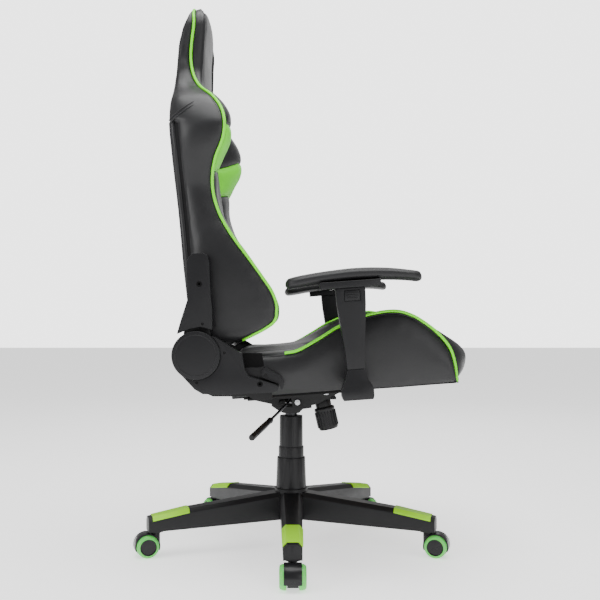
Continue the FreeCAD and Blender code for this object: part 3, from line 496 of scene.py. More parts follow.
class Shader:
    """Builds a material's nodes from a finish."""

    def __init__(self, finish: Finish) -> None:
        self.finish = finish
        self.material = bpy.data.materials.new(finish.name)
        self.material.use_nodes = True
        self.tree = self.material.node_tree
        self.tree.nodes.clear()

    def node(
        self, kind: str, settings: Dict, inputs: Dict, output: Union[int, str] = 0
    ) -> Socket:
        """Adds a node.

        Args:
            kind: the node's type.
            settings: attribute values.
            inputs: socket index or name to a value or Socket.
            output: which output to return.

        Returns:
            The output, wrapped.
        """
        plain_inputs = {k: v.link if isinstance(v, Socket) else v for k, v in inputs.items()}
        made = add_node(self.tree, kind, settings, plain_inputs)
        return Socket(self, made.outputs[output])

    def noise(self, scale: float, detail: float = 3.0, rough: float = 0.5) -> Socket:
        """Cloudy noise over the object, from 0 to 1."""
        inputs = {"Vector": self.place, "Scale": scale, "Detail": detail, "Roughness": rough}
        return self.node("ShaderNodeTexNoise", {}, inputs)

    def cells(self, scale: float, feature: str = "F1") -> Socket:
        """Distance within small cells over the object."""
        inputs = {"Vector": self.place, "Scale": scale}
        return self.node("ShaderNodeTexVoronoi", {"feature": feature}, inputs)

    def pattern(self) -> Tuple[Socket, Optional[Socket]]:
        """Height of the surface pattern from 0 to 1, and a mask of its dark spots if it has any."""
        grain = self.finish.grain
        if grain in (Grain.LEATHER, Grain.PERFORATED):
            creases = (self.cells(620.0, "DISTANCE_TO_EDGE") * 3.2).clamped()
            pores = self.noise(1900.0, 2.0)
            height = creases * 0.75 + pores * 0.25
            if grain is Grain.LEATHER:
                return height, None
            row, column = self.place.part(2) * 105.0, self.place.part(1) * 105.0
            shifted = column + (row - row.fract()) * 0.5
            dy, dz = shifted.fract() - 0.5, row.fract() - 0.5
            hole = (dy * dy + dz * dz) < 0.022
            return height - hole * 1.6, hole
        if grain is Grain.MOULDED:
            return self.noise(1500.0, 4.0, 0.65) * 0.7 + self.cells(900.0) * 0.3, None
        if grain is Grain.BRUSHED:
            return (self.place.part(2) * 9000.0 + self.noise(90.0) * 5.0).sine() * 0.5 + 0.5, None
        if grain is Grain.WOVEN:
            warp = (self.place.part(0) * 3600.0).sine()
            weft = (self.place.part(1) * 3600.0).sine()
            return warp * weft * 0.5 + 0.5, None
        if grain is Grain.WOOD:
            rings = (self.place.part(1) * 500.0 + self.noise(14.0) * 26.0).sine()
            return rings * 0.35 + self.noise(160.0, 5.0) * 0.65, None
        return self.noise(420.0, 2.0), None

    def build(self):
        """Builds and returns the material."""
        f = self.finish
        self.place = self.node("ShaderNodeTexCoord", {}, {}, "Object")
        height, spots = self.pattern()
        cloud = self.noise(9.0, 4.0)
        wear = self.noise(38.0, 4.0, 0.6)
        dark = tuple(c * (1 - f.shift) for c in f.colour) + (1.0,)
        light = tuple(min(1.0, c * (1 + f.shift) + 0.004) for c in f.colour) + (1.0,)
        share = (cloud * 0.7 + height * 0.3).clamped()
        colour = self.node(
            "ShaderNodeMix",
            {"data_type": "RGBA"},
            {0: share, 6: dark, 7: light},
            output=2,
        )
        if spots is not None:
            colour = self.node(
                "ShaderNodeMix",
                {"data_type": "RGBA"},
                {0: spots, 6: colour, 7: (0.002, 0.002, 0.002, 1.0)},
                output=2,
            )
        rough = (wear - 0.5) * (2 * f.spread) + (cloud - 0.5) * f.spread + f.rough
        bump = self.node(
            "ShaderNodeBump",
            {},
            {"Strength": f.relief, "Distance": f.depth * MM, "Height": height},
        )
        inputs = {
            "Base Color": colour,
            "Roughness": rough.clamped(),
            "Normal": bump,
            "Metallic": f.metal,
            "Coat Weight": f.coat,
            "Coat Roughness": 0.25,
            "Specular IOR Level": f.shine,
        }
        if f.soft:
            inputs["Subsurface Weight"] = f.soft
            inputs["Subsurface Scale"] = 0.004
        if f.glow:
            inputs["Emission Color"] = (1.0, 1.0, 1.0, 1.0)
            inputs["Emission Strength"] = f.glow
        surface = self.node("ShaderNodeBsdfPrincipled", {}, inputs)
        out = self.tree.nodes.new("ShaderNodeOutputMaterial")
        self.tree.links.new(surface.link, out.inputs["Surface"])
        return self.material


LEATHER = Finish(
    "black_leather", "leather_black", (0.0085, 0.0085, 0.0095), Grain.LEATHER, 0.4,
    spread=0.07, shift=0.3, relief=0.34, depth=0.22, coat=0.06,
)
PERFORATED = Finish(
    "black_perforated", "leather_black", (0.0095, 0.0095, 0.0105), Grain.PERFORATED, 0.46,
    spread=0.06, shift=0.3, relief=0.4, depth=0.35,
)
LIME = Finish(
    "lime_leather", "leather_green", (0.14, 0.70, 0.010), Grain.LEATHER, 0.45,
    spread=0.06, shift=0.08, relief=0.22, depth=0.2,
)
PIPING = Finish(
    "lime_piping", "leather_green", (0.17, 0.80, 0.004), Grain.LEATHER, 0.4,
    spread=0.06, shift=0.08, relief=0.2, depth=0.15,
)
THREAD = Finish(
    "black_thread", "leather_black", (0.02, 0.02, 0.022), Grain.WOVEN, 0.6, relief=0.3
)
LIME_THREAD = Finish(
    "lime_thread", "leather_green", (0.12, 0.55, 0.012), Grain.WOVEN, 0.6, relief=0.3
)
UNDERCLOTH = Finish(
    "under_cloth", "leather_black", (0.006, 0.006, 0.0065), Grain.WOVEN, 0.85, relief=0.5, shine=0.15
)
NYLON = Finish(
    "black_nylon", "nylon_black", (0.0075, 0.0075, 0.0085), Grain.MOULDED, 0.4,
    spread=0.08, shift=0.2, relief=0.3, depth=0.12, shine=0.24,
)
GLOSS = Finish(
    "black_gloss", "caster_black", (0.007, 0.007, 0.008), Grain.SMOOTH, 0.27,
    spread=0.06, shift=0.2, relief=0.12, depth=0.1, coat=0.1, shine=0.24,
)
SOFT_PAD = Finish(
    "soft_pad", "pad_soft_black", (0.010, 0.010, 0.011), Grain.LEATHER, 0.5,
    spread=0.06, shift=0.2, relief=0.25, depth=0.15,
)
TRIM = Finish(
    "lime_trim", "trim_green", (0.34, 0.78, 0.002), Grain.MOULDED, 0.42,
    spread=0.07, shift=0.07, relief=0.25, depth=0.12,
)
TYRE = Finish(
    "mint_tyre", "tyre_green", (0.11, 0.60, 0.10), Grain.SMOOTH, 0.32,
    spread=0.06, shift=0.08, relief=0.15, depth=0.2, soft=0.35, coat=0.15,
)
POWDER = Finish(
    "black_powder_coat", "steel_black", (0.0042, 0.0042, 0.0046), Grain.MOULDED, 0.42,
    spread=0.08, shift=0.2, relief=0.35, depth=0.1, shine=0.2,
)
# Near-black, dull finish: the screws' own black, darkened further as painted shade for the recessed holes
# they sit in, and painted shade inside the lever pockets.
BLACK_AND_SHADE = Finish(
    "pitch_black", "steel_black", (0.0012, 0.0012, 0.0013), Grain.MOULDED, 0.6, relief=0.2, shine=0.08
)
LEVER_STEEL = Finish(
    "lever_steel", "steel_zinc", (0.22, 0.22, 0.23), Grain.BRUSHED, 0.32,
    spread=0.08, shift=0.1, relief=0.1, depth=0.05, metal=1.0,
)
ZINC = Finish(
    "zinc", "steel_zinc", (0.6, 0.61, 0.63), Grain.BRUSHED, 0.34,
    spread=0.08, shift=0.08, relief=0.12, depth=0.05, metal=1.0,
)
DARK_STEEL = Finish(
    "dark_steel", "steel_zinc", (0.035, 0.035, 0.037), Grain.BRUSHED, 0.3,
    spread=0.08, shift=0.1, relief=0.1, depth=0.05, metal=1.0,
)
PLYWOOD = Finish(
    "plywood", "board_wood", (0.34, 0.23, 0.13), Grain.WOOD, 0.62, shift=0.35, relief=0.3
)


def dress(made, finish: Finish, body: str, stands_for: Iterable[str] = ()):
    """Gives a piece its finish, and the body it moves with.

    Args:
        made: the piece.
        finish: its finish.
        body: the CAD body it rides on.
        stands_for: CAD nodes it takes the place of.

    Returns:
        The piece.
    """
    made.data.materials.clear()
    made.data.materials.append(finish.made())
    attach(made, body)
    nodes = list(stands_for)
    if nodes:
        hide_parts(*nodes)
    return made


def paint(finish: Finish, *nodes: str) -> None:
    """Gives CAD nodes that are shown as they are their finish."""
    for name in nodes:
        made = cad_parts[name]
        made.data.materials.clear()
        made.data.materials.append(finish.made())
        shade_by_angle(made, 30)


# --- repeated things -----------------------------------------------------------------------------


@dataclass
class Repeat:
    """A small part set at many points by a node group, each facing its own way."""

    name: str
    pattern: object
    finish: Finish
    group: object = field(init=False, default=None)

    def __post_init__(self) -> None:
        self.group = bpy.data.node_groups.get("set_on_points") or self._group()

    @staticmethod
    def _group():
        """The node group: part on points, turned by two directions, realized, with a material."""
        tree = bpy.data.node_groups.new("set_on_points", "GeometryNodeTree")
        face = tree.interface
        face.new_socket("Geometry", in_out="INPUT", socket_type="NodeSocketGeometry")
        face.new_socket("Part", in_out="INPUT", socket_type="NodeSocketObject")
        face.new_socket("Material", in_out="INPUT", socket_type="NodeSocketMaterial")
        face.new_socket("Geometry", in_out="OUTPUT", socket_type="NodeSocketGeometry")

        node = partial(add_node, tree)
        given = node("NodeGroupInput", {}, {})
        up = node("GeometryNodeInputNamedAttribute", {"data_type": "FLOAT_VECTOR"}, {0: "up"})
        run = node("GeometryNodeInputNamedAttribute", {"data_type": "FLOAT_VECTOR"}, {0: "run"})
        stood = node(
            "FunctionNodeAlignEulerToVector", {"axis": "Z"}, {"Vector": up.outputs[0]}
        )
        turned = node(
            "FunctionNodeAlignEulerToVector",
            {"axis": "X", "pivot_axis": "Z"},
            {"Rotation": stood.outputs[0], "Vector": run.outputs[0]},
        )
        part = node("GeometryNodeObjectInfo", {}, {"Object": given.outputs[1]})
        cloud = node("GeometryNodeMeshToPoints", {}, {"Mesh": given.outputs[0]})
        placed = node(
            "GeometryNodeInstanceOnPoints",
            {},
            {
                "Points": cloud.outputs[0],
                "Instance": part.outputs["Geometry"],
                "Rotation": turned.outputs[0],
            },
        )
        real = node("GeometryNodeRealizeInstances", {}, {0: placed.outputs[0]})
        done = node(
            "GeometryNodeSetMaterial",
            {},
            {"Geometry": real.outputs[0], "Material": given.outputs[2]},
        )
        node("NodeGroupOutput", {}, {0: done.outputs[0]})
        return tree

    def at(self, points: Array, ups: Array, runs: Array):
        """Sets the part at points.

        Args:
            points: places in metres.
            ups: the direction the part's own Z takes at each.
            runs: the direction its X takes, as nearly as it can.

        Returns:
            The parts as one plain mesh.
        """
        mesh = bpy.data.meshes.new(self.name)
        mesh.from_pydata([tuple(p) for p in points], [], [])
        for key, values in (("up", ups), ("run", runs)):
            layer = mesh.attributes.new(key, "FLOAT_VECTOR", "POINT")
            layer.data.foreach_set("vector", np.asarray(values, np.float32).ravel())
        made = linked(self.name, mesh)
        modifier = made.modifiers.new("set", "NODES")
        modifier.node_group = self.group
        named = {s.name: s.identifier for s in self.group.interface.items_tree if s.in_out == "INPUT"}
        modifier[named["Part"]] = self.pattern
        modifier[named["Material"]] = self.finish.made()
        settled(made)
        for key in ("up", "run"):
            layer = made.data.attributes.get(key)
            if layer is not None:
                made.data.attributes.remove(layer)
        return made


def pattern_stitch():
    """One stitch: a flattened bead of thread, lying along X."""
    mesh = bpy.data.meshes.new("stitch")
    with edited(mesh) as work:
        bmesh.ops.create_uvsphere(work, u_segments=6, v_segments=5, radius=1.0)
        for v in work.verts:
            v.co = Vector((v.co.z * 1.9, v.co.x * 0.55, v.co.y * 0.5)) * MM
    mesh.polygons.foreach_set("use_smooth", [True] * len(mesh.polygons))
    return bpy.data.objects.new("stitch", mesh)


def pattern_screw(radius: float = 5.0, height: float = 2.2):
    """A button-head screw with a hexagon recess, its head up along Z."""
    rim = [
        (0.0, -1.0), (radius, -1.0), (radius, 0.15 * height), (0.93 * radius, 0.5 * height),
        (0.75 * radius, 0.85 * height), (0.5 * radius, height), (0.44 * radius, height),
        (0.40 * radius, height - 0.25), (0.40 * radius, height - 1.6), (0.0, height - 1.6),
    ]
    sides = 24
    turn = np.linspace(0, 2 * math.pi, sides, endpoint=False)
    rows = []
    for i, (r, z) in enumerate(rim):
        reach = np.full(sides, r)
        if i >= 6:
            corner = np.abs((turn % (math.pi / 3)) - math.pi / 6)
            reach = reach * math.cos(math.pi / 6) / np.cos(math.pi / 6 - corner)
        rows.append(
            np.stack([reach * np.cos(turn), reach * np.sin(turn), np.full(sides, z)], axis=1)
        )
    loops = np.array(rows) * MM
    made = new_mesh("screw", loops.reshape(-1, 3), quads(len(rim), sides, wrap=True))
    shade_by_angle(made, 35)
    bpy.context.scene.collection.objects.unlink(made)
    return made


def pattern_rib(length: float, width: float, height: float):
    """A rounded bar that lies along X, centred on its foot."""
    half = np.array([length / 2, width / 2])
    levels = [(1.0, 0.0), (1.0, 0.6 * height), (0.8, 0.92 * height), (0.45, height)]
    turn = np.linspace(0, 2 * math.pi, 12, endpoint=False)
    loops = []
    for share, z in levels:
        x = np.sign(np.cos(turn)) * np.abs(np.cos(turn)) ** 0.5 * (half[0] - (1 - share) * half[1])
        y = np.sign(np.sin(turn)) * np.abs(np.sin(turn)) ** 0.5 * half[1] * share
        loops.append(np.stack([x, y, np.full(12, z)], axis=1))
    made = lattice("rib", np.array(loops) * MM)
    bpy.context.scene.collection.objects.unlink(made)
    return made


# --- upholstery ----------------------------------------------------------------------------------


@dataclass
class Panel:
    """A sewn panel of cover: a grid of points that swells between its seams.

    Attributes:
        name: the panel's name.
        grid: rows and columns of points, in metres.
        inside: a point within the cushion, so that the panel knows which way is out.
        swell: how far it stands out away from its seams, in millimetres.
        tuck: how far its edges sink at the seams, in millimetres.
        reach: how far from a seam the swell takes to rise, in millimetres.
        crease: depth of the small pulls beside the seams, in millimetres.
        seams: which edges are seams: first row, last row, first column, last column.
    """

    name: str
    grid: Array
    inside: Point
    swell: float = 5.0
    tuck: float = 3.5
    reach: float = 16.0
    crease: float = 0.9
    seams: Tuple[bool, bool, bool, bool] = (True, True, True, True)
    surface: Array = field(init=False, default=None)
    normals: Array = field(init=False, default=None)

    def __post_init__(self) -> None:
        normals = grid_normals(self.grid)
        outward = self.grid - np.asarray(self.inside)
        if float((normals * outward).sum()) < 0:
            normals = -normals
        depth = self._distance()
        rise = 1 - np.exp(-((depth / (self.reach * MM)) ** 2))
        dip = np.exp(-((depth / (0.3 * self.reach * MM)) ** 2))
        height = self.swell * rise - self.tuck * dip
        height += self._pulls(depth)
        self.surface = self.grid + normals * (height * MM)[..., None]
        self.normals = normals

    def _distance(self) -> Array:
        """Distance of each point to the nearest seam."""
        along, across = run_lengths(self.grid, 0), run_lengths(self.grid, 1)
        far = np.full(along.shape, 1.0)
        walks = (along, along[-1:] - along, across, across[:, -1:] - across)
        for used, walk in zip(self.seams, walks):
            if used:
                far = np.minimum(far, walk)
        return far

    def _pulls(self, depth: Array) -> Array:
        """Small creases by the seams and slow unevenness over the panel, in millimetres."""
        flat = self.grid.reshape(-1, 3)
        slow = np.array([noise.noise(Vector(p) * 9.0) for p in flat]).reshape(depth.shape)
        quick = np.array([noise.noise(Vector(p) * 46.0) for p in flat]).reshape(depth.shape)
        near = np.exp(-depth / 0.028) * np.minimum(depth / 0.004, 1.0)
        return slow * 1.1 + quick * self.crease * near

    def piece(self, finish: Finish, body: str, thickness: float = 3.0):
        """The panel as a closed sheet, with its finish, moving with a body."""
        made = shell(self.name, self.surface, self.normals, thickness * MM)
        dress(made, finish, body)
        return made

    def line(self, index: float, rows: bool, inset: float = 0.0, clip: Tuple[float, float] = (0, 1)):
        """A line on the surface beside a seam.

        Args:
            index: 0 for the first row or column, 1 for the last.
            rows: whether the seam is a row of the grid, and not a column.
            inset: distance from the seam in millimetres.
            clip: the share of the line's length that is wanted.

        Returns:
            Points and outward normals along the line.
        """
        grid = self.surface if rows else self.surface.transpose(1, 0, 2)
        normal = self.normals if rows else self.normals.transpose(1, 0, 2)
        if index:
            grid, normal = grid[::-1], normal[::-1]
        walk = run_lengths(grid, 0)
        want = inset * MM
        points, ups = [], []
        for column in range(grid.shape[1]):
            at = np.interp(want, walk[:, column], np.arange(grid.shape[0]))
            low = min(int(at), grid.shape[0] - 2)
            share = at - low
            points.append(grid[low, column] * (1 - share) + grid[low + 1, column] * share)
            ups.append(normal[low, column])
        first, last = int(clip[0] * (len(points) - 1)), int(clip[1] * (len(points) - 1)) + 1
        return np.array(points[first:last]), np.array(ups[first:last])


@dataclass
class Sewing:
    """Gathers lines of stitches and sets them as one piece for each body."""

    pitch: float = 5.2
    lines: Dict[Tuple[str, str], List[Tuple[Array, Array]]] = field(default_factory=dict)

    def add(self, name: str, body: str, line: Tuple[Array, Array]) -> None:
        """Adds a line of stitches to a named piece on a body."""
        self.lines.setdefault((name, body), []).append(line)

    @staticmethod
    def thread(name: str) -> Finish:
        """The thread a named piece is sewn with."""
        return LIME_THREAD if name.startswith("lime") else THREAD

    def sew(self) -> None:
        """Sets a stitch at every pitch along every line."""
        stitch = pattern_stitch()
        for (name, body), lines in self.lines.items():
            points, ups, runs = [], [], []
            for path, up in lines:
                walk = np.r_[0, np.cumsum(np.linalg.norm(np.diff(path, axis=0), axis=1))]
                at = np.arange(0.003, walk[-1] - 0.003, self.pitch * MM)
                if not len(at):
                    continue
                place = np.stack([np.interp(at, walk, path[:, i]) for i in range(3)], axis=1)
                stand = np.stack([np.interp(at, walk, up[:, i]) for i in range(3)], axis=1)
                ahead = np.stack(
                    [np.interp(at + 0.002, walk, path[:, i]) for i in range(3)], axis=1
                )
                points.append(place + stand * 0.0002)
                ups.append(stand)
                runs.append(ahead - place)
            made = Repeat(name, stitch, self.thread(name)).at(
                np.concatenate(points), np.concatenate(ups), np.concatenate(runs)
            )
            dress(made, self.thread(name), body)


@dataclass
class Seat:
    """The seat: a centre cushion that rolls over the front, two side bolsters and their cover."""

    sewing: Sewing
    half: float = 255.0
    centre: float = 140.0
    rows: int = 120
    # matched (x, z) points from the rear forward: the piping on the outside, the seam inside
    outer: Tuple[Tuple[float, float], ...] = (
        (-122, 102), (-60, 103), (-3, 104), (24, 109), (66, 129), (107, 150), (163, 168),
        (218, 173), (256, 161), (290, 136), (311, 114), (326, 92), (333, 70), (336, 44), (336, 20),
    )
    inner: Tuple[Tuple[float, float], ...] = (
        (-122, 98), (-60, 98), (-3, 97), (24, 97), (66, 96), (107, 95), (163, 95),
        (218, 96), (262, 98), (312, 99), (342, 96), (364, 85), (376, 66), (366, 39), (344, 20),
    )

    def build(self) -> None:
        """Builds every piece of the seat."""
        knots = np.linspace(0, 1, len(self.outer))
        outer = hermite(knots, [(x, self.half, z) for x, z in self.outer], np.linspace(0, 1, self.rows))
        inner = hermite(knots, [(x, self.centre, z) for x, z in self.inner], np.linspace(0, 1, self.rows))
        self._centre(inner)
        for side in Side:
            self._bolster(side, outer, inner)
            self._flank(side, outer)
        self._piping(outer)
        self._under()

    def _centre(self, inner: Array) -> None:
        """The centre cushion's cover, one long panel that rolls over the front."""
        columns = 52
        y = np.linspace(-1, 1, columns)
        grid = np.repeat(inner[:, None, :], columns, axis=1)
        grid[..., 1] = y[None, :] * self.centre
        crown = (1 - y**2) * 5.0
        panel_rows = grid_normals(SEAT.world(grid))
        if panel_rows[self.rows // 3, columns // 2, 2] < 0:
            panel_rows = -panel_rows
        world = SEAT.world(grid) + panel_rows * (crown * MM)[None, :, None]
        panel = Panel("seat_centre_cover", world, (0.1, 0.0, 0.38), swell=7, reach=22, tuck=4.5)
        made = panel.piece(PERFORATED, "seat")
        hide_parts("seat_cushion")
        for edge in (0, 1):
            self.sewing.add("seat_stitches", "seat", panel.line(edge, False, 9.0, (0.02, 0.97)))

    def _bolster(self, side: Side, outer: Array, inner: Array) -> None:
        """The upper and front cover of a bolster, from its piping in to the centre seam."""
        sign = np.array([1.0, side.value, 1.0])
        middle = 0.5 * (outer + inner)
        run = np.gradient(middle, axis=0)
        out = np.stack([-run[:, 2], np.zeros(len(run)), run[:, 0]], axis=1)
        out /= np.linalg.norm(out, axis=1, keepdims=True)
        lift = np.linalg.norm(outer - inner, axis=1) - (self.half - self.centre)
        control = middle + out * (4.0 + 0.34 * np.abs(lift))[:, None]
        control[:, 1] = 0.56 * self.half + 0.44 * self.centre + 14.0
        grid = bend(outer * sign, control * sign, inner * sign, np.linspace(0, 1, 30))
        panel = Panel(
            f"seat_bolster_cover_{side.word}", SEAT.world(grid),
            (0.1, side.value * 0.19, 0.40), swell=6, reach=18,
        )
        made = panel.piece(LEATHER, "seat")
        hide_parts("seat_bolsters")
        self.sewing.add("seat_stitches", "seat", panel.line(1, False, 8.0, (0.02, 0.97)))
        self.sewing.add("seat_stitches", "seat", panel.line(0, False, 10.0, (0.18, 0.97)))

    def _flank(self, side: Side, outer: Array) -> None:
        """The outside panel of a bolster, from the piping down to the seat's lower edge."""
        top = outer.copy()
        low = np.stack(
            [np.interp(np.linspace(0, 1, self.rows), [0, 1], [-122, 334]),
             np.full(self.rows, self.half - 6.0), np.full(self.rows, 17.0)], axis=1,
        )
        low[:, 0] = np.minimum(low[:, 0] * 0.35 + top[:, 0] * 0.65, 334)
        t = np.linspace(0, 1, 34)[None, :, None]
        grid = top[:, None, :] * (1 - t) + low[:, None, :] * t
        grid[..., 1] += np.sin(math.pi * t[..., 0] ** 0.8) * 7.0
        grid[..., 1] *= side.value
        panel = Panel(
            f"seat_flank_{side.word}", SEAT.world(grid), (0.1, side.value * 0.15, 0.40),
            swell=5.5, reach=28, tuck=3.5, crease=1.2, seams=(True, False, True, True),
        )
        panel.piece(LEATHER, "seat")
        self.sewing.add("seat_stitches", "seat", panel.line(0, False, 9.0, (0.2, 0.97)))

    def _piping(self, outer: Array) -> None:
        """The cord along the top of each bolster, and along the foot of the rolled front."""
        start = int(0.14 * self.rows)
        for side in Side:
            path = outer[start:].copy()
            path[:, 1] = (self.half + 0.5) * side.value
            made = tube(f"seat_piping_{side.word}", SEAT.world(path), 3.1 * MM)
            dress(made, PIPING, "seat")
        foot = [(337, 252, 21), (345, 218, 23), (351, 170, 24), (354, 120, 24), (356, 0, 25)]
        foot += [(x, -y, z) for x, y, z in foot[-2::-1]]
        made = tube("seat_piping_front", SEAT.world(smooth_path(foot, 90)), 2.9 * MM)
        dress(made, PIPING, "seat")

    def _under(self) -> None:
        """The black cloth under the cushion and the panel across its rear."""
        x, y = np.linspace(-121, 350, 40), np.linspace(-246, 246, 40)
        grid = np.stack([*np.meshgrid(x, y, indexing="ij"), np.full((40, 40), 17.0)], axis=2)
        grid[..., 0] = np.minimum(grid[..., 0], 358 - 22 * (np.abs(grid[..., 1]) / 246) ** 3)
        panel = Panel("seat_under_cloth", SEAT.world(grid), (0.1, 0.0, 0.42), swell=0, tuck=0, crease=0)
        panel.piece(UNDERCLOTH, "seat", 1.5)
        z, y = np.linspace(17, 103, 20), np.linspace(-250, 250, 60)
        zz, yy = np.meshgrid(z, y, indexing="ij")
        grid = np.stack([np.full_like(zz, -120.0) - 5 * np.sin((zz - 17) / 86 * math.pi), yy, zz], axis=2)
        panel = Panel("seat_rear_cover", SEAT.world(grid), (0.1, 0.0, 0.40), swell=2)
        panel.piece(LEATHER, "seat")


@dataclass
class Backrest:
    """The backrest: centre panel, wings with coloured inserts, flanks, rear and piping."""

    sewing: Sewing
    # height, rear x, centre front x, piping x, piping y, rear edge y, forward push of the wing
    stations: Tuple[Tuple[float, ...], ...] = (
        (13, -12.5, 56, 74, 238, 216, 2),
        (27, -12.5, 60, 114, 248, 220, 3),
        (45, -12.5, 62, 155, 252, 222, 4),
        (74, -12.5, 64, 170, 255, 224, 6),
        (107, -12.5, 64, 166, 256, 224, 6),
        (145, -12.5, 64, 147, 256, 222, 7),
        (187, -12.5, 62, 123, 254, 220, 9),
        (231, -12.5, 59, 97, 248, 217, 9),
        (286, -12.5, 57, 73, 236, 212, 9),
        (344, -12.5, 54, 65, 230, 209, 13),
        (397, -12.5, 53, 78, 246, 212, 24),
        (431, -12.5, 53, 97, 258, 215, 33),
        (464, -12.5, 53, 104.5, 260, 216, 35),
        (500, -11.5, 53, 99, 244, 210, 30),
        (532, -7, 52, 82, 218, 198, 21),
        (563, 0, 52, 58, 176, 172, 15),
        (597, 6, 54, 44, 148, 152, 16),
        (633, 12, 58, 41, 139, 144, 22),
        (674, 20, 63, 47, 137, 138, 24),
        (700, 28, 68, 53, 136, 135, 22),
        (719, 36, 72, 56, 133, 131, 18),
        (738, 45, 74, 56, 121, 119, 13),
        (750, 50, 74, 56, 104, 102, 10),
        (758, 53, 70, 56, 84, 83, 7),
        (762, 54.5, 64, 56, 68, 67, 4),
    )
    top: float = 762.0
    edging: Tuple[float, float] = (11.0, 18.0)
    seam: float = 115.0

    def _at(self, low: float, high: float, rows: int) -> Array:
        """Stations between two heights, smoothly."""
        table = np.array(self.stations)
        z = np.linspace(low, high, rows)
        return np.concatenate([z[:, None], hermite(table[:, 0], table[:, 1:], z)], axis=1)

    def _seam_y(self, s: Array) -> Array:
        """Where the centre panel's seam runs."""
        return np.minimum(self.seam, s[:, 4] - 12.0)

    def _crowned(self, grid: Array) -> Array:
        """The grid with its top edge arched over the head."""
        rise = np.clip((grid[..., 2] - 738.0) / (self.top - 738.0), 0, 1) ** 2
        grid[..., 2] += rise * 5.5 * np.clip(1 - (grid[..., 1] / 72.0) ** 2, 0, 1)
        return grid

    @staticmethod
    def _share(s: Array, reach: Union[float, Array]) -> Array:
        """How far across the flank, from 0 to 1, a point lies that is so far ahead of the rear edge."""
        width = s[:, 3] - s[:, 1]
        return (np.sqrt(0.04 + 3.2 * np.asarray(reach) / width) - 0.2) / 1.6

    def _flank_grid(self, s: Array, side: Side, first: Array, last: Array, columns: int) -> Array:
        """The outside surface between two shares of the way from the rear edge to the piping."""
        z = s[:, 0]
        start = np.stack([s[:, 1], s[:, 5], z], axis=1)
        end = np.stack([s[:, 3], s[:, 4], z], axis=1)
        control = np.stack(
            [s[:, 1] + 0.10 * (s[:, 3] - s[:, 1]), np.maximum(s[:, 4], s[:, 5]) + 5.0, z], axis=1
        )
        spread = np.linspace(0, 1, columns)[None, :]
        u = (first[:, None] + (last - first)[:, None] * spread)[..., None]
        grid = (1 - u) ** 2 * start[:, None] + 2 * u * (1 - u) * control[:, None]
        grid = grid + u**2 * end[:, None]
        grid[..., 1] *= side.value
        return self._crowned(grid)

    def _wing_grid(self, s: Array, side: Side, columns: int) -> Array:
        """The front surface from the piping in to the centre seam."""
        z, seam = s[:, 0], self._seam_y(s)
        start = np.stack([s[:, 3], s[:, 4], z], axis=1)
        end = np.stack([s[:, 2], seam, z], axis=1)
        control = np.stack(
            [np.maximum(s[:, 3], s[:, 2]) + s[:, 6], 0.55 * s[:, 4] + 0.45 * seam, z], axis=1
        )
        grid = bend(start, control, end, np.linspace(0, 1, columns))
        grid[..., 1] *= side.value
        return self._crowned(grid)

    def _wing_part(self, side: Side, low: Array, high: Array, rows: int) -> Array:
        """A part of the front surface between two seams that slope across it.

        Args:
            side: which wing.
            low: height of the lower seam at even steps from the piping in.
            high: height of the upper seam.
            rows: rows of points between the seams.

        Returns:
            The grid of points.
        """
        columns = 30
        s = self._at(13, self.top, 380)
        whole = self._wing_grid(s, side, columns)
        step = np.linspace(0, 1, columns)
        ends = [np.interp(step, np.linspace(0, 1, len(edge)), edge) for edge in (low, high)]
        grid = np.empty((rows, columns, 3))
        for column in range(columns):
            z = np.linspace(ends[0][column], ends[1][column], rows)
            for axis in range(3):
                grid[:, column, axis] = np.interp(z, s[:, 0], whole[:, column, axis])
        return grid

    def build(self) -> None:
        """Builds every piece of the backrest."""
        self._centre()
        for side in Side:
            self._wing(side)
            self._flank(side)
            self._welt(side)
        self._rear()
        self._piping()
        self._foot()

    def _centre(self) -> None:
        """The centre panels: a lumbar and chest run, and the head panel above it."""
        for name, low, high, finish in (
            ("back_lumbar_cover", 13, 205, PERFORATED),
            ("back_chest_cover", 205, 560, PERFORATED),
            ("back_head_cover", 560, self.top, LEATHER),
        ):
            rows = max(24, int((high - low) / 5))
            s = self._at(low, high, rows)
            y = np.linspace(-1, 1, 46)
            seam = self._seam_y(s)
            grid = np.empty((rows, 46, 3))
            crown = np.interp(s[:, 0], [500, 640, 745, 762], [5, 7, 6, 1])
            grid[..., 0] = s[:, 2:3] + (1 - y[None, :] ** 2) * crown[:, None]
            grid[..., 1] = seam[:, None] * y[None, :]
            grid[..., 2] = s[:, 0:1]
            grid = self._crowned(grid)
            panel = Panel(name, BACK.world(grid), (-0.21, 0.0, 0.75), swell=6, reach=18, tuck=4)
            made = panel.piece(finish, "backrest")
            for line in (
                (0, False, 8.0, (0.02, 0.97)), (1, False, 8.0, (0.02, 0.97)),
                (1, True, 7.0, (0.03, 0.97)), (0, True, 7.0, (0.03, 0.97)),
            ):
                self.sewing.add("back_stitches", "backrest", panel.line(*line))
            if name == "back_lumbar_cover":
                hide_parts("back_cushion")

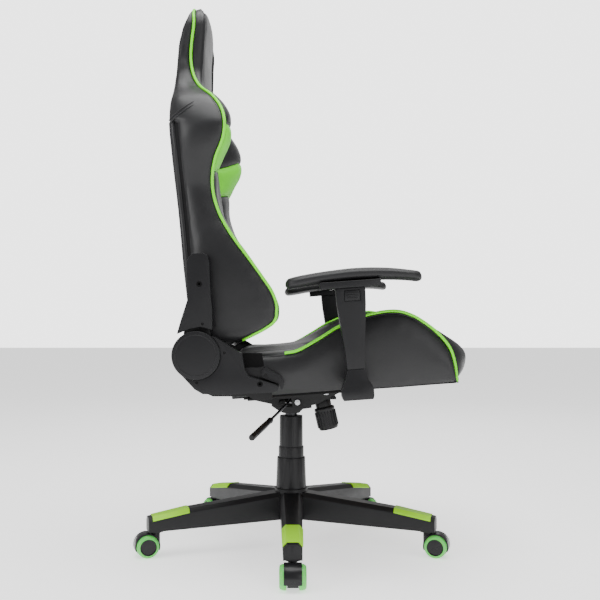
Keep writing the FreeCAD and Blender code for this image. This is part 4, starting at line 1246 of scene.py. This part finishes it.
    def _wing(self, side: Side) -> None:
        """A wing's front: black below, a coloured insert at the shoulder blade, black above."""
        foot, crest = (13, 13, 13), (self.top, self.top, self.top)
        insert_foot, insert_head = (369, 374, 376, 372, 368), (461, 462, 458, 446, 434)
        neck = (566, 560, 556)
        for name, low, high, finish in (
            ("back_wing_lower", foot, insert_foot, LEATHER),
            ("back_wing_insert", insert_foot, insert_head, LIME),
            ("back_wing_upper", insert_head, neck, LEATHER),
            ("back_head_side", neck, crest, LEATHER),
        ):
            rows = max(20, int((max(high) - min(low)) / 4.5))
            grid = self._wing_part(side, low, high, rows)
            panel = Panel(
                f"{name}_{side.word}", BACK.world(grid), (-0.2, side.value * 0.15, 0.75),
                swell=3.5, reach=14, tuck=3, seams=(low is not foot, high is not crest, True, True),
            )
            made = panel.piece(finish, "backrest")
            if name == "back_wing_lower":
                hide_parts("back_bolsters")
            thread = "lime_stitches" if finish is LIME else "back_stitches"
            self.sewing.add(thread, "backrest", panel.line(1, False, 7.0, (0.03, 0.97)))
            self.sewing.add(thread, "backrest", panel.line(0, False, 8.0, (0.03, 0.97)))
            if low is not foot:
                self.sewing.add(thread, "backrest", panel.line(0, True, 6.0, (0.06, 0.94)))

    def _flank(self, side: Side) -> None:
        """A flank: the broad outside panel, the edging strip at the rear and the groove between."""
        s = self._at(13, self.top, 190)
        one = np.ones(len(s))
        near = self._share(s, self.edging[1])
        start = near * np.interp(s[:, 0], [479, 488], [1.0, 0.0])
        panel = Panel(
            f"back_flank_{side.word}", BACK.world(self._flank_grid(s, side, start, one, 46)),
            (-0.2, 0.0, 0.75), swell=3.0, reach=16, tuck=3.0, crease=1.3,
            seams=(False, False, True, True),
        )
        panel.piece(LEATHER, "backrest")
        self.sewing.add("back_stitches", "backrest", panel.line(1, False, 9.0, (0.03, 0.95)))
        s = self._at(18, 487, 110)
        none = np.zeros(len(s))
        edge = self._share(s, self.edging[0])
        strip = Panel(
            f"back_edging_{side.word}", BACK.world(self._flank_grid(s, side, none, edge, 12)),
            (-0.2, 0.0, 0.75), swell=2.6, reach=4, tuck=1.2, crease=0.3,
        )
        strip.piece(LEATHER, "backrest")
        ends = self._share(s, self.edging[0] - 2.5), self._share(s, self.edging[1] + 3.0)
        grid = self._flank_grid(s, side, *ends, 8)
        grid[..., 1] -= side.value * 3.6
        groove = Panel(
            f"back_groove_{side.word}", BACK.world(grid), (-0.2, 0.0, 0.75), swell=0, tuck=0, crease=0
        )
        groove.piece(UNDERCLOTH, "backrest", 1.2)

    def _welt(self, side: Side) -> None:
        """The folded double seam that runs forward and up across the shoulder."""
        for name, drop in (("upper", 0.0), ("lower", -8.0)):
            ahead = np.linspace(2.0, 66.0, 60)
            s = np.concatenate([self._at(486 + drop + 0.58 * a, 770, 2)[:1] for a in ahead])
            share = self._share(s, ahead)
            path = self._flank_grid(s, side, share, share, 2)[:, 0]
            fade = np.interp(ahead, [2, 8, 50, 66], [2.6, 3.4, 3.2, 0.6])
            path[:, 1] += side.value * fade
            made = tube(f"back_welt_{name}_{side.word}", BACK.world(path), 1.6 * MM, 8)
            dress(made, LEATHER, "backrest")

    def _rear(self) -> None:
        """The rear panel."""
        s = self._at(13, self.top, 150)
        y = np.linspace(-1, 1, 60)
        grid = np.empty((150, 60, 3))
        grid[..., 0] = s[:, 1:2] - (1 - y[None, :] ** 4) * 2.0
        grid[..., 1] = s[:, 5:6] * y[None, :]
        grid[..., 2] = s[:, 0:1]
        panel = Panel(
            "back_rear_cover", BACK.world(self._crowned(grid)), (-0.15, 0.0, 0.75), swell=1.0, reach=20,
            tuck=2.5, crease=0.8, seams=(True, False, True, True),
        )
        panel.piece(LEATHER, "backrest")
        for edge in (0, 1):
            self.sewing.add("back_stitches", "backrest", panel.line(edge, False, 11.0, (0.03, 0.9)))

    def _piping(self) -> None:
        """One cord up a flank, over the head and down the other flank."""
        s = self._at(15, self.top, 150)
        up = np.stack([s[:, 3], s[:, 4], s[:, 0]], axis=1)
        over = [(56.5, 68, 762.6), (57, 40, 766), (57.5, 0, 767.8), (57, -40, 766), (56.5, -68, 762.6)]
        down = up[::-1] * np.array([1, -1, 1])
        path = np.concatenate([up[:-1], smooth_path(over, 30), down[1:]])
        made = tube("back_piping", BACK.world(smooth_path(path[::2], 420)), 3.1 * MM)
        dress(made, PIPING, "backrest")

    def _foot(self) -> None:
        """The panel that closes the backrest's lower end."""
        y = np.linspace(-1, 1, 60)
        rows = 18
        t = np.linspace(0, 1, rows)[:, None]
        front = np.interp(np.abs(y), [0, 0.48, 1.0], [56, 56, 73])[None, :]
        width = np.interp(t, [0, 1], [216, 238])
        grid = np.stack(
            [-12.5 + (front + 12.5) * t, width * y[None, :], np.full((rows, 60), 13.0)], axis=2
        )
        panel = Panel("back_foot_cover", BACK.world(grid), (-0.2, 0.0, 0.75), swell=2, tuck=1)
        panel.piece(LEATHER, "backrest")


# --- moulded and metal parts ---------------------------------------------------------------------


@dataclass
class StarBase:
    """The five-star base, its trims and its twin-wheel casters."""

    legs: int = 5
    circle: float = 316.0
    trail: float = 20.0
    axle: float = 25.0
    tyre: Tuple[Tuple[float, float], ...] = (
        (18.0, 12.2), (23.6, 12.2), (24.7, 12.7), (25.0, 13.8), (25.0, 17.0), (24.5, 20.8),
        (23.2, 24.0), (21.0, 26.1), (18.0, 26.6),
    )
    disc: Tuple[Tuple[float, float], ...] = (
        (3.1, 12.4), (18.0, 12.4), (18.0, 25.6), (17.2, 26.2), (16.2, 26.0), (15.2, 25.2),
        (9.0, 25.9), (3.1, 26.3), (0.1, 26.3), (0.1, 25.0), (3.1, 24.6),
    )

    def angle(self, index: int) -> float:
        """Direction of a leg in radians."""
        return math.radians(-90 + 360 / self.legs * index)

    def build(self) -> None:
        """Builds the base's pieces and every caster's."""
        dress(eased("star_base", 1.8, 3), NYLON, "base", ["star_base"])
        dress(eased("leg_trim_pads", 1.1, 3), TRIM, "base", ["leg_trim_pads"])
        self._ribs()
        for index in range(self.legs):
            self._caster(index)

    def _ribs(self) -> None:
        """Stiffening ribs across the hollow under each leg."""
        points, ups, runs = [], [], []
        for index in range(self.legs):
            a = self.angle(index)
            out, across = np.array([math.cos(a), math.sin(a), 0]), np.array([-math.sin(a), math.cos(a), 0])
            for reach in (75, 110, 145, 180, 215, 250, 280):
                points.append(out * reach * MM + np.array([0, 0, 0.1035 - 0.02 * reach / 300]))
                ups.append([0, 0, -1])
                runs.append(across)
        rib = pattern_rib(32, 2.6, 26)
        made = Repeat("leg_ribs", rib, NYLON).at(np.array(points), np.array(ups), np.array(runs))
        dress(made, NYLON, "base")

    def _caster(self, index: int) -> None:
        """One caster's tyres, discs, axle caps and hood."""
        n, a = index + 1, self.angle(index)
        out = np.array([math.cos(a), math.sin(a), 0.0])
        across = np.array([-math.sin(a), math.cos(a), 0.0])
        hub = out * (self.circle + self.trail) * MM + np.array([0, 0, self.axle * MM])
        tyres, discs = [], []
        for sign in (1, -1):
            tyres.append(lathe(f"tyre_{n}_{sign}", self.tyre, hub, across * sign, 72))
            discs.append(lathe(f"disc_{n}_{sign}", self.disc, hub, across * sign, 48))
        roll = f"caster_roll_{n}"
        dress(joined(f"caster_tyre_pair_{n}", tyres), TYRE, roll, [f"caster_tyres_{n}"])
        dress(joined(f"caster_disc_pair_{n}", discs), GLOSS, roll, [f"caster_wheels_{n}"])
        hood = eased(f"caster_hood_{n}", 0.7, 2)
        dress(hood, GLOSS, f"caster_{n}", [f"caster_hood_{n}"])


@dataclass
class GasLift:
    """The gas spring, its telescoping covers, and the tilt mechanism on top of it."""

    root: Point = (71.0, 0.0, 341.0)
    lean: float = 13.0

    def build(self) -> None:
        """Builds the column's and the mechanism's pieces."""
        for node, body in (
            ("lift_cover_lower", "base"), ("lift_cover_middle", "middle_cover"),
            ("lift_cover_upper", "column"),
        ):
            dress(eased(node, 0.6, 2), NYLON, body, [node])
        paint(POWDER, "pressure_tube")
        paint(DARK_STEEL, "piston_rod")
        for node, width in (("tilt_housing", 1.0), ("spring_cup", 0.8)):
            dress(eased(node, width, 2), POWDER, "mechanism", [node])
        paint(ZINC, "release_pin", "tilt_pin", "tilt_spring", "tension_bolt")
        self._lever()
        self._knob()
        self._bush()

    def _lever(self) -> None:
        """The lift lever's rod and its grip."""
        dress(eased("lift_lever_rod", 0.4, 2, 50), LEVER_STEEL, "lift_lever", ["lift_lever_rod"])
        start, end = np.array([-46.0, -132.0, 304.0]), np.array([-83.0, -232.0, 280.0])
        run = (end - start) / np.linalg.norm(end - start)
        length = float(np.linalg.norm(end - start)) + 3.0
        outline = [
            (3.1, 0.0), (5.6, 0.0), (6.5, 0.8), (6.8, 4.0), (5.6, 7.0), (5.9, 12.0), (6.6, 40.0),
            (6.5, length - 24.0), (5.4, length - 22.0), (5.4, length - 20.0), (6.7, length - 18.0),
            (6.7, length - 3.0), (6.0, length - 0.6), (4.6, length), (0.1, length),
            (0.1, length - 2.5), (3.1, length - 4.0),
        ]
        made = lathe("lift_lever_handle", outline, start * MM, run, 40)
        dress(made, NYLON, "lift_lever", ["lift_lever_grip"])

    def _knob(self) -> None:
        """The tension knob, with grip flutes round it."""
        k = math.radians(self.lean)
        down = np.array([math.sin(k), 0.0, -math.cos(k)])
        start = (np.array(self.root) + down * 23.6) * MM
        outline = [
            (5.1, 0.0), (21.5, 0.0), (23.0, 0.6), (23.6, 2.0), (23.8, 5.5), (22.9, 7.0),
            (22.9, 45.0), (22.2, 49.0), (20.2, 51.3), (17.0, 51.9), (15.6, 50.8), (5.1, 50.6),
        ]
        body = lathe("knob_body", outline, start, down, 72)
        u = np.array(Vector(down).orthogonal().normalized())
        v = np.cross(down, u)
        turn = np.linspace(0, 2 * math.pi, 18, endpoint=False)
        ups = np.cos(turn)[:, None] * u + np.sin(turn)[:, None] * v
        points = start + down * 27.0 * MM + ups * 22.6 * MM
        rib = pattern_rib(36, 4.4, 2.2)
        ribs = Repeat("knob_ribs", rib, NYLON).at(points, ups, np.repeat(down[None], 18, axis=0))
        dress(joined("tension_knob_skin", [body, ribs]), NYLON, "knob", ["tension_knob"])

    def _bush(self) -> None:
        """The bright flanged bushes on the ends of the tilt pin."""
        for side in Side:
            outline = [(0.1, 0.0), (5.8, 0.0), (5.8, 1.4), (5.3, 2.0), (4.2, 2.2), (3.6, 3.0), (0.1, 3.2)]
            start = np.array([13.6, side.value * 53.4, 334.0]) * MM
            made = lathe(f"tilt_bush_{side.word}", outline, start, np.array([0, side.value, 0]), 36)
            dress(made, ZINC, "mechanism")


@dataclass
class SeatFrame:
    """Plates, board, rails, bolts and the recline joint's parts that show."""

    def build(self) -> None:
        """Builds the seat's hard parts."""
        for node, width, body in (
            ("seat_plate", 0.8, "seat"), ("seat_rails", 1.5, "seat"), ("arm_brackets", 1.2, "seat"),
            ("recline_brackets_lower", 0.8, "seat"), ("recline_brackets_upper", 0.8, "backrest"),
        ):
            dress(eased(node, width, 2), POWDER, body, [node])
        paint(PLYWOOD, "seat_board")
        paint(ZINC, "seat_bolts", "recline_gears", "back_bolts")
        paint(POWDER, "back_frame", "recline_pins")
        for node, width, body in (
            ("side_covers", 2.6, "seat"), ("upright_covers", 2.4, "backrest"),
            ("hinge_caps", 2.4, "seat"), ("recline_lever", 2.6, "recline_handle"),
        ):
            dress(eased(node, width, 4), NYLON, body, [node])
        self._screws()

    def _screws(self) -> None:
        """Screws that hold the covers, near-black with painted shade for their recessed holes; near-black
        slabs of painted shade inside the lever pockets; and the ring pressed round each hinge cap.
        """
        screw, small = pattern_screw(5.8), pattern_screw(2.9, 1.2)
        for name, pattern, body, place, face in (
            ("side_cover_screws", screw, "seat", HINGE, (128.0, 285.0, -57.0)),
            ("upright_cover_screws", screw, "backrest", BACK, (20.9, 278.0, 141.6)),
            ("hinge_screws_front", small, "seat", HINGE, (57.0, 285.0, 5.5)),
            ("hinge_screws_foot", small, "seat", HINGE, (2.0, 285.0, -54.5)),
            ("hinge_screws_top", small, "backrest", BACK, (19.0, 278.0, 61.5)),
        ):
            x, y, z = face
            points = np.array([place.world((x, side.value * (y - 0.6), z)) for side in Side])
            ups = np.array([[0, side.value, 0] for side in Side], float)
            runs = np.array([[1, 0, 0.2], [1, 0, -0.3]], float)
            # the near-black screw heads carry painted shade for the recessed holes they sit in
            dress(Repeat(name, pattern, BLACK_AND_SHADE).at(points, ups, runs), BLACK_AND_SHADE, body)
        # A thin near-black slab at the back of each lever pocket: painted shade for the inside of the
        # pocket.
        hook = [
            (82, 12), (90, 4), (131, 4), (136, -24), (164, -42), (166, -58), (150, -54),
            (106, -44), (88, -30),
        ]
        for side in Side:
            rims = [
                HINGE.world((x, side.value * depth, z)) for depth in (260.3, 262.3) for x, z in hook
            ]
            count = len(hook)
            faces = [tuple(range(count)), tuple(range(count, 2 * count))] + quads(2, count, wrap=True)
            dress(new_mesh(f"lever_pocket_{side.word}", np.array(rims), faces, False), BLACK_AND_SHADE, "seat")
            ring = [(40.0, 0.0), (42.0, 0.0), (42.0, 0.5), (41.5, 0.9), (40.5, 0.9), (40.0, 0.5)]
            start = HINGE.world((0, side.value * 289.4, 0))
            made = lathe(f"hinge_ring_{side.word}", ring, start, np.array([0, side.value, 0]), 96)
            dress(made, NYLON, "seat")


@dataclass
class Armrest:
    """One armrest: sleeve, button, pad plate and pad."""

    side: Side
    offset: float = 310.0
    forward: float = 129.0
    # distance along the seat, underside and top of the pad
    outline: Tuple[Tuple[float, float, float], ...] = (
        (3, 231, 249), (20, 231, 252.5), (60, 235, 257.5), (100, 237.5, 260.5), (138, 238.3, 262),
        (178, 237.3, 260.5), (216, 235, 256.5), (250, 231, 250.5), (273, 226.5, 246),
    )

    def build(self) -> None:
        """Builds the armrest's pieces."""
        word, arm = self.side.word, f"arm_{self.side.word}"
        dress(eased(f"arm_sleeve_{word}", 5.0, 5, 25), NYLON, arm, [f"arm_sleeve_{word}"])
        dress(eased(f"arm_pad_plate_{word}", 3.0, 3), NYLON, f"arm_top_{word}", [f"arm_pad_plate_{word}"])
        self._button()
        self._pad()

    def _button(self) -> None:
        """The height button with its two grip slots."""
        word = self.side.word
        made = eased(f"arm_button_{word}", 1.2, 3)
        dress(made, NYLON, f"arm_key_{word}", [f"arm_button_{word}"])
        face = self.side.value * (self.offset + 22.5)
        foot = face - self.side.value * 0.6
        points = np.array([SEAT.world((self.forward + 2, foot, z)) for z in (204, 209, 214)])
        ups = np.array([[0, self.side.value, 0]] * 3, float)
        runs = np.array([[1, 0, 0]] * 3, float)
        ribs = Repeat(f"arm_button_ribs_{word}", pattern_rib(22, 2.0, 1.6), GLOSS).at(points, ups, runs)
        dress(ribs, GLOSS, f"arm_key_{word}")

    def _pad(self) -> None:
        """The padded top, arched along and rounded all round."""
        word = self.side.word
        table = np.array(self.outline)
        middle = self.side.value * (self.offset - 18.0)
        first, last = table[0, 0], table[-1, 0]
        s = np.sin(np.linspace(-math.pi / 2, math.pi / 2, 90)) * 0.5 + 0.5
        x = first + (last - first) * s
        low, high = hermite(table[:, 0], table[:, 1:], x).T
        end = np.minimum(x - first, last - x)
        plan = np.clip(1 - ((34.0 - np.minimum(end, 34.0)) / 34.0) ** 2.6, 0.0, 1.0) ** (1 / 2.6)
        thick = np.clip(1 - ((9.0 - np.minimum(end, 9.0)) / 9.0) ** 2, 0.02, 1.0) ** 0.5
        half = 45.5 * (0.30 + 0.70 * plan) * (0.35 + 0.65 * thick)
        centre, tall = 0.5 * (low + high), 0.5 * (high - low) * thick
        turn = np.linspace(0, 2 * math.pi, 56, endpoint=False)
        cy = np.sign(np.cos(turn)) * np.abs(np.cos(turn)) ** 0.62
        cz = np.sign(np.sin(turn)) * np.abs(np.sin(turn)) ** 0.72
        loops = np.empty((len(x), len(turn), 3))
        loops[..., 0] = x[:, None]
        loops[..., 1] = middle + half[:, None] * cy
        loops[..., 2] = centre[:, None] + tall[:, None] * cz
        loops[..., 2] += np.where(cz > 0, 1.6 * (1 - np.abs(cy) ** 2) * thick[:, None], 0.0)
        made = lattice(f"arm_pad_skin_{word}", SEAT.world(loops))
        dress(made, SOFT_PAD, f"arm_top_{word}", [f"arm_pad_{word}"])


@dataclass
class Studio:
    """Floor, lights and camera."""

    eye: Point = (-0.019, -2.0, 0.532)
    lens: float = 51.6
    shift: Tuple[float, float] = (0.0283, 0.025)
    surround: Tuple[float, float] = (0.38, 3.2)

    def build(self) -> None:
        """Builds the studio and points the scene at its camera."""
        self._floor()
        self._sky()
        self._light("top", (0.1, -0.3, 2.7), (0.0, -0.05, 0.5), 2.2, 90.0)
        self._light("front", (1.6, -2.6, 1.0), (0.05, -0.1, 0.6), 1.5, 20.0)
        self._light("rear", (-2.2, -1.3, 1.5), (-0.1, -0.1, 0.7), 1.3, 30.0)
        self._light("far", (0.4, 2.4, 1.9), (0.0, 0.0, 0.6), 1.8, 12.0)
        data = bpy.data.cameras.new("view")
        data.lens, data.sensor_width = self.lens, 36.0
        data.shift_x, data.shift_y = self.shift
        data.clip_end = 50.0
        camera = bpy.data.objects.new("view", data)
        camera.location = self.eye
        camera.rotation_euler = (math.pi / 2, 0.0, 0.0)
        bpy.context.scene.collection.objects.link(camera)
        bpy.context.scene.camera = camera

    def _sky(self) -> None:
        """An even surround: bright behind the chair, dimmer as a light on it."""
        world = bpy.data.worlds.new("studio")
        world.use_nodes = True
        tree = world.node_tree
        tree.nodes.clear()
        shades = []
        for strength in self.surround:
            shade = tree.nodes.new("ShaderNodeBackground")
            shade.inputs["Color"].default_value = (1.0, 1.0, 1.0, 1.0)
            shade.inputs["Strength"].default_value = strength
            shades.append(shade)
        path = tree.nodes.new("ShaderNodeLightPath")
        mix = tree.nodes.new("ShaderNodeMixShader")
        out = tree.nodes.new("ShaderNodeOutputWorld")
        tree.links.new(path.outputs["Is Camera Ray"], mix.inputs[0])
        for index, shade in enumerate(shades, start=1):
            tree.links.new(shade.outputs[0], mix.inputs[index])
        tree.links.new(mix.outputs[0], out.inputs["Surface"])
        bpy.context.scene.world = world

    def _floor(self) -> None:
        """A pale floor."""
        plane = new_mesh(
            "floor", np.array([(-12, -12, 0), (12, -12, 0), (12, 12, 0), (-12, 12, 0)], float),
            [(0, 1, 2, 3)],
        )
        finish = Finish(
            "floor", "", (0.86, 0.86, 0.86), Grain.SMOOTH, 0.6, spread=0.05, shift=0.01, relief=0.02,
            glow=1.1,
        )
        plane.data.materials.append(finish.made())
        plane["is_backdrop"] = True

    def _light(self, name: str, at: Point, toward: Point, size: float, power: float) -> None:
        """A soft square light at a point, aimed at another."""
        data = bpy.data.lights.new(name, "AREA")
        data.energy, data.size = power, size
        made = bpy.data.objects.new(name, data)
        made.location = at
        made.rotation_euler = (Vector(toward) - Vector(at)).to_track_quat("-Z", "Y").to_euler()
        bpy.context.scene.collection.objects.link(made)


def plain(value):
    """Bounds as lists of numbers, whatever they hold."""
    if isinstance(value, dict):
        return {str(k): plain(v) for k, v in value.items()}
    if isinstance(value, (Vector, list, tuple, np.ndarray)):
        return [plain(v) for v in value]
    return value if isinstance(value, (str, bool, type(None))) else float(value)


def main() -> None:
    """Builds the chair in its studio."""
    sizes = {"cad": plain(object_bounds())}
    sewing = Sewing()
    parts = [StarBase(), GasLift(), SeatFrame(), Seat(sewing), Backrest(sewing)]
    parts += [Armrest(side) for side in Side]
    for part in parts:
        part.build()
        log.info("built %s", type(part).__name__)
    sewing.sew()
    dress(eased("arm_sockets", 2.2, 3), NYLON, "seat", ["arm_sockets"])
    Studio().build()
    sizes["visual"] = plain(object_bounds())
    log.info("sizes %s", sizes)


if __name__ == "__main__":
    main()
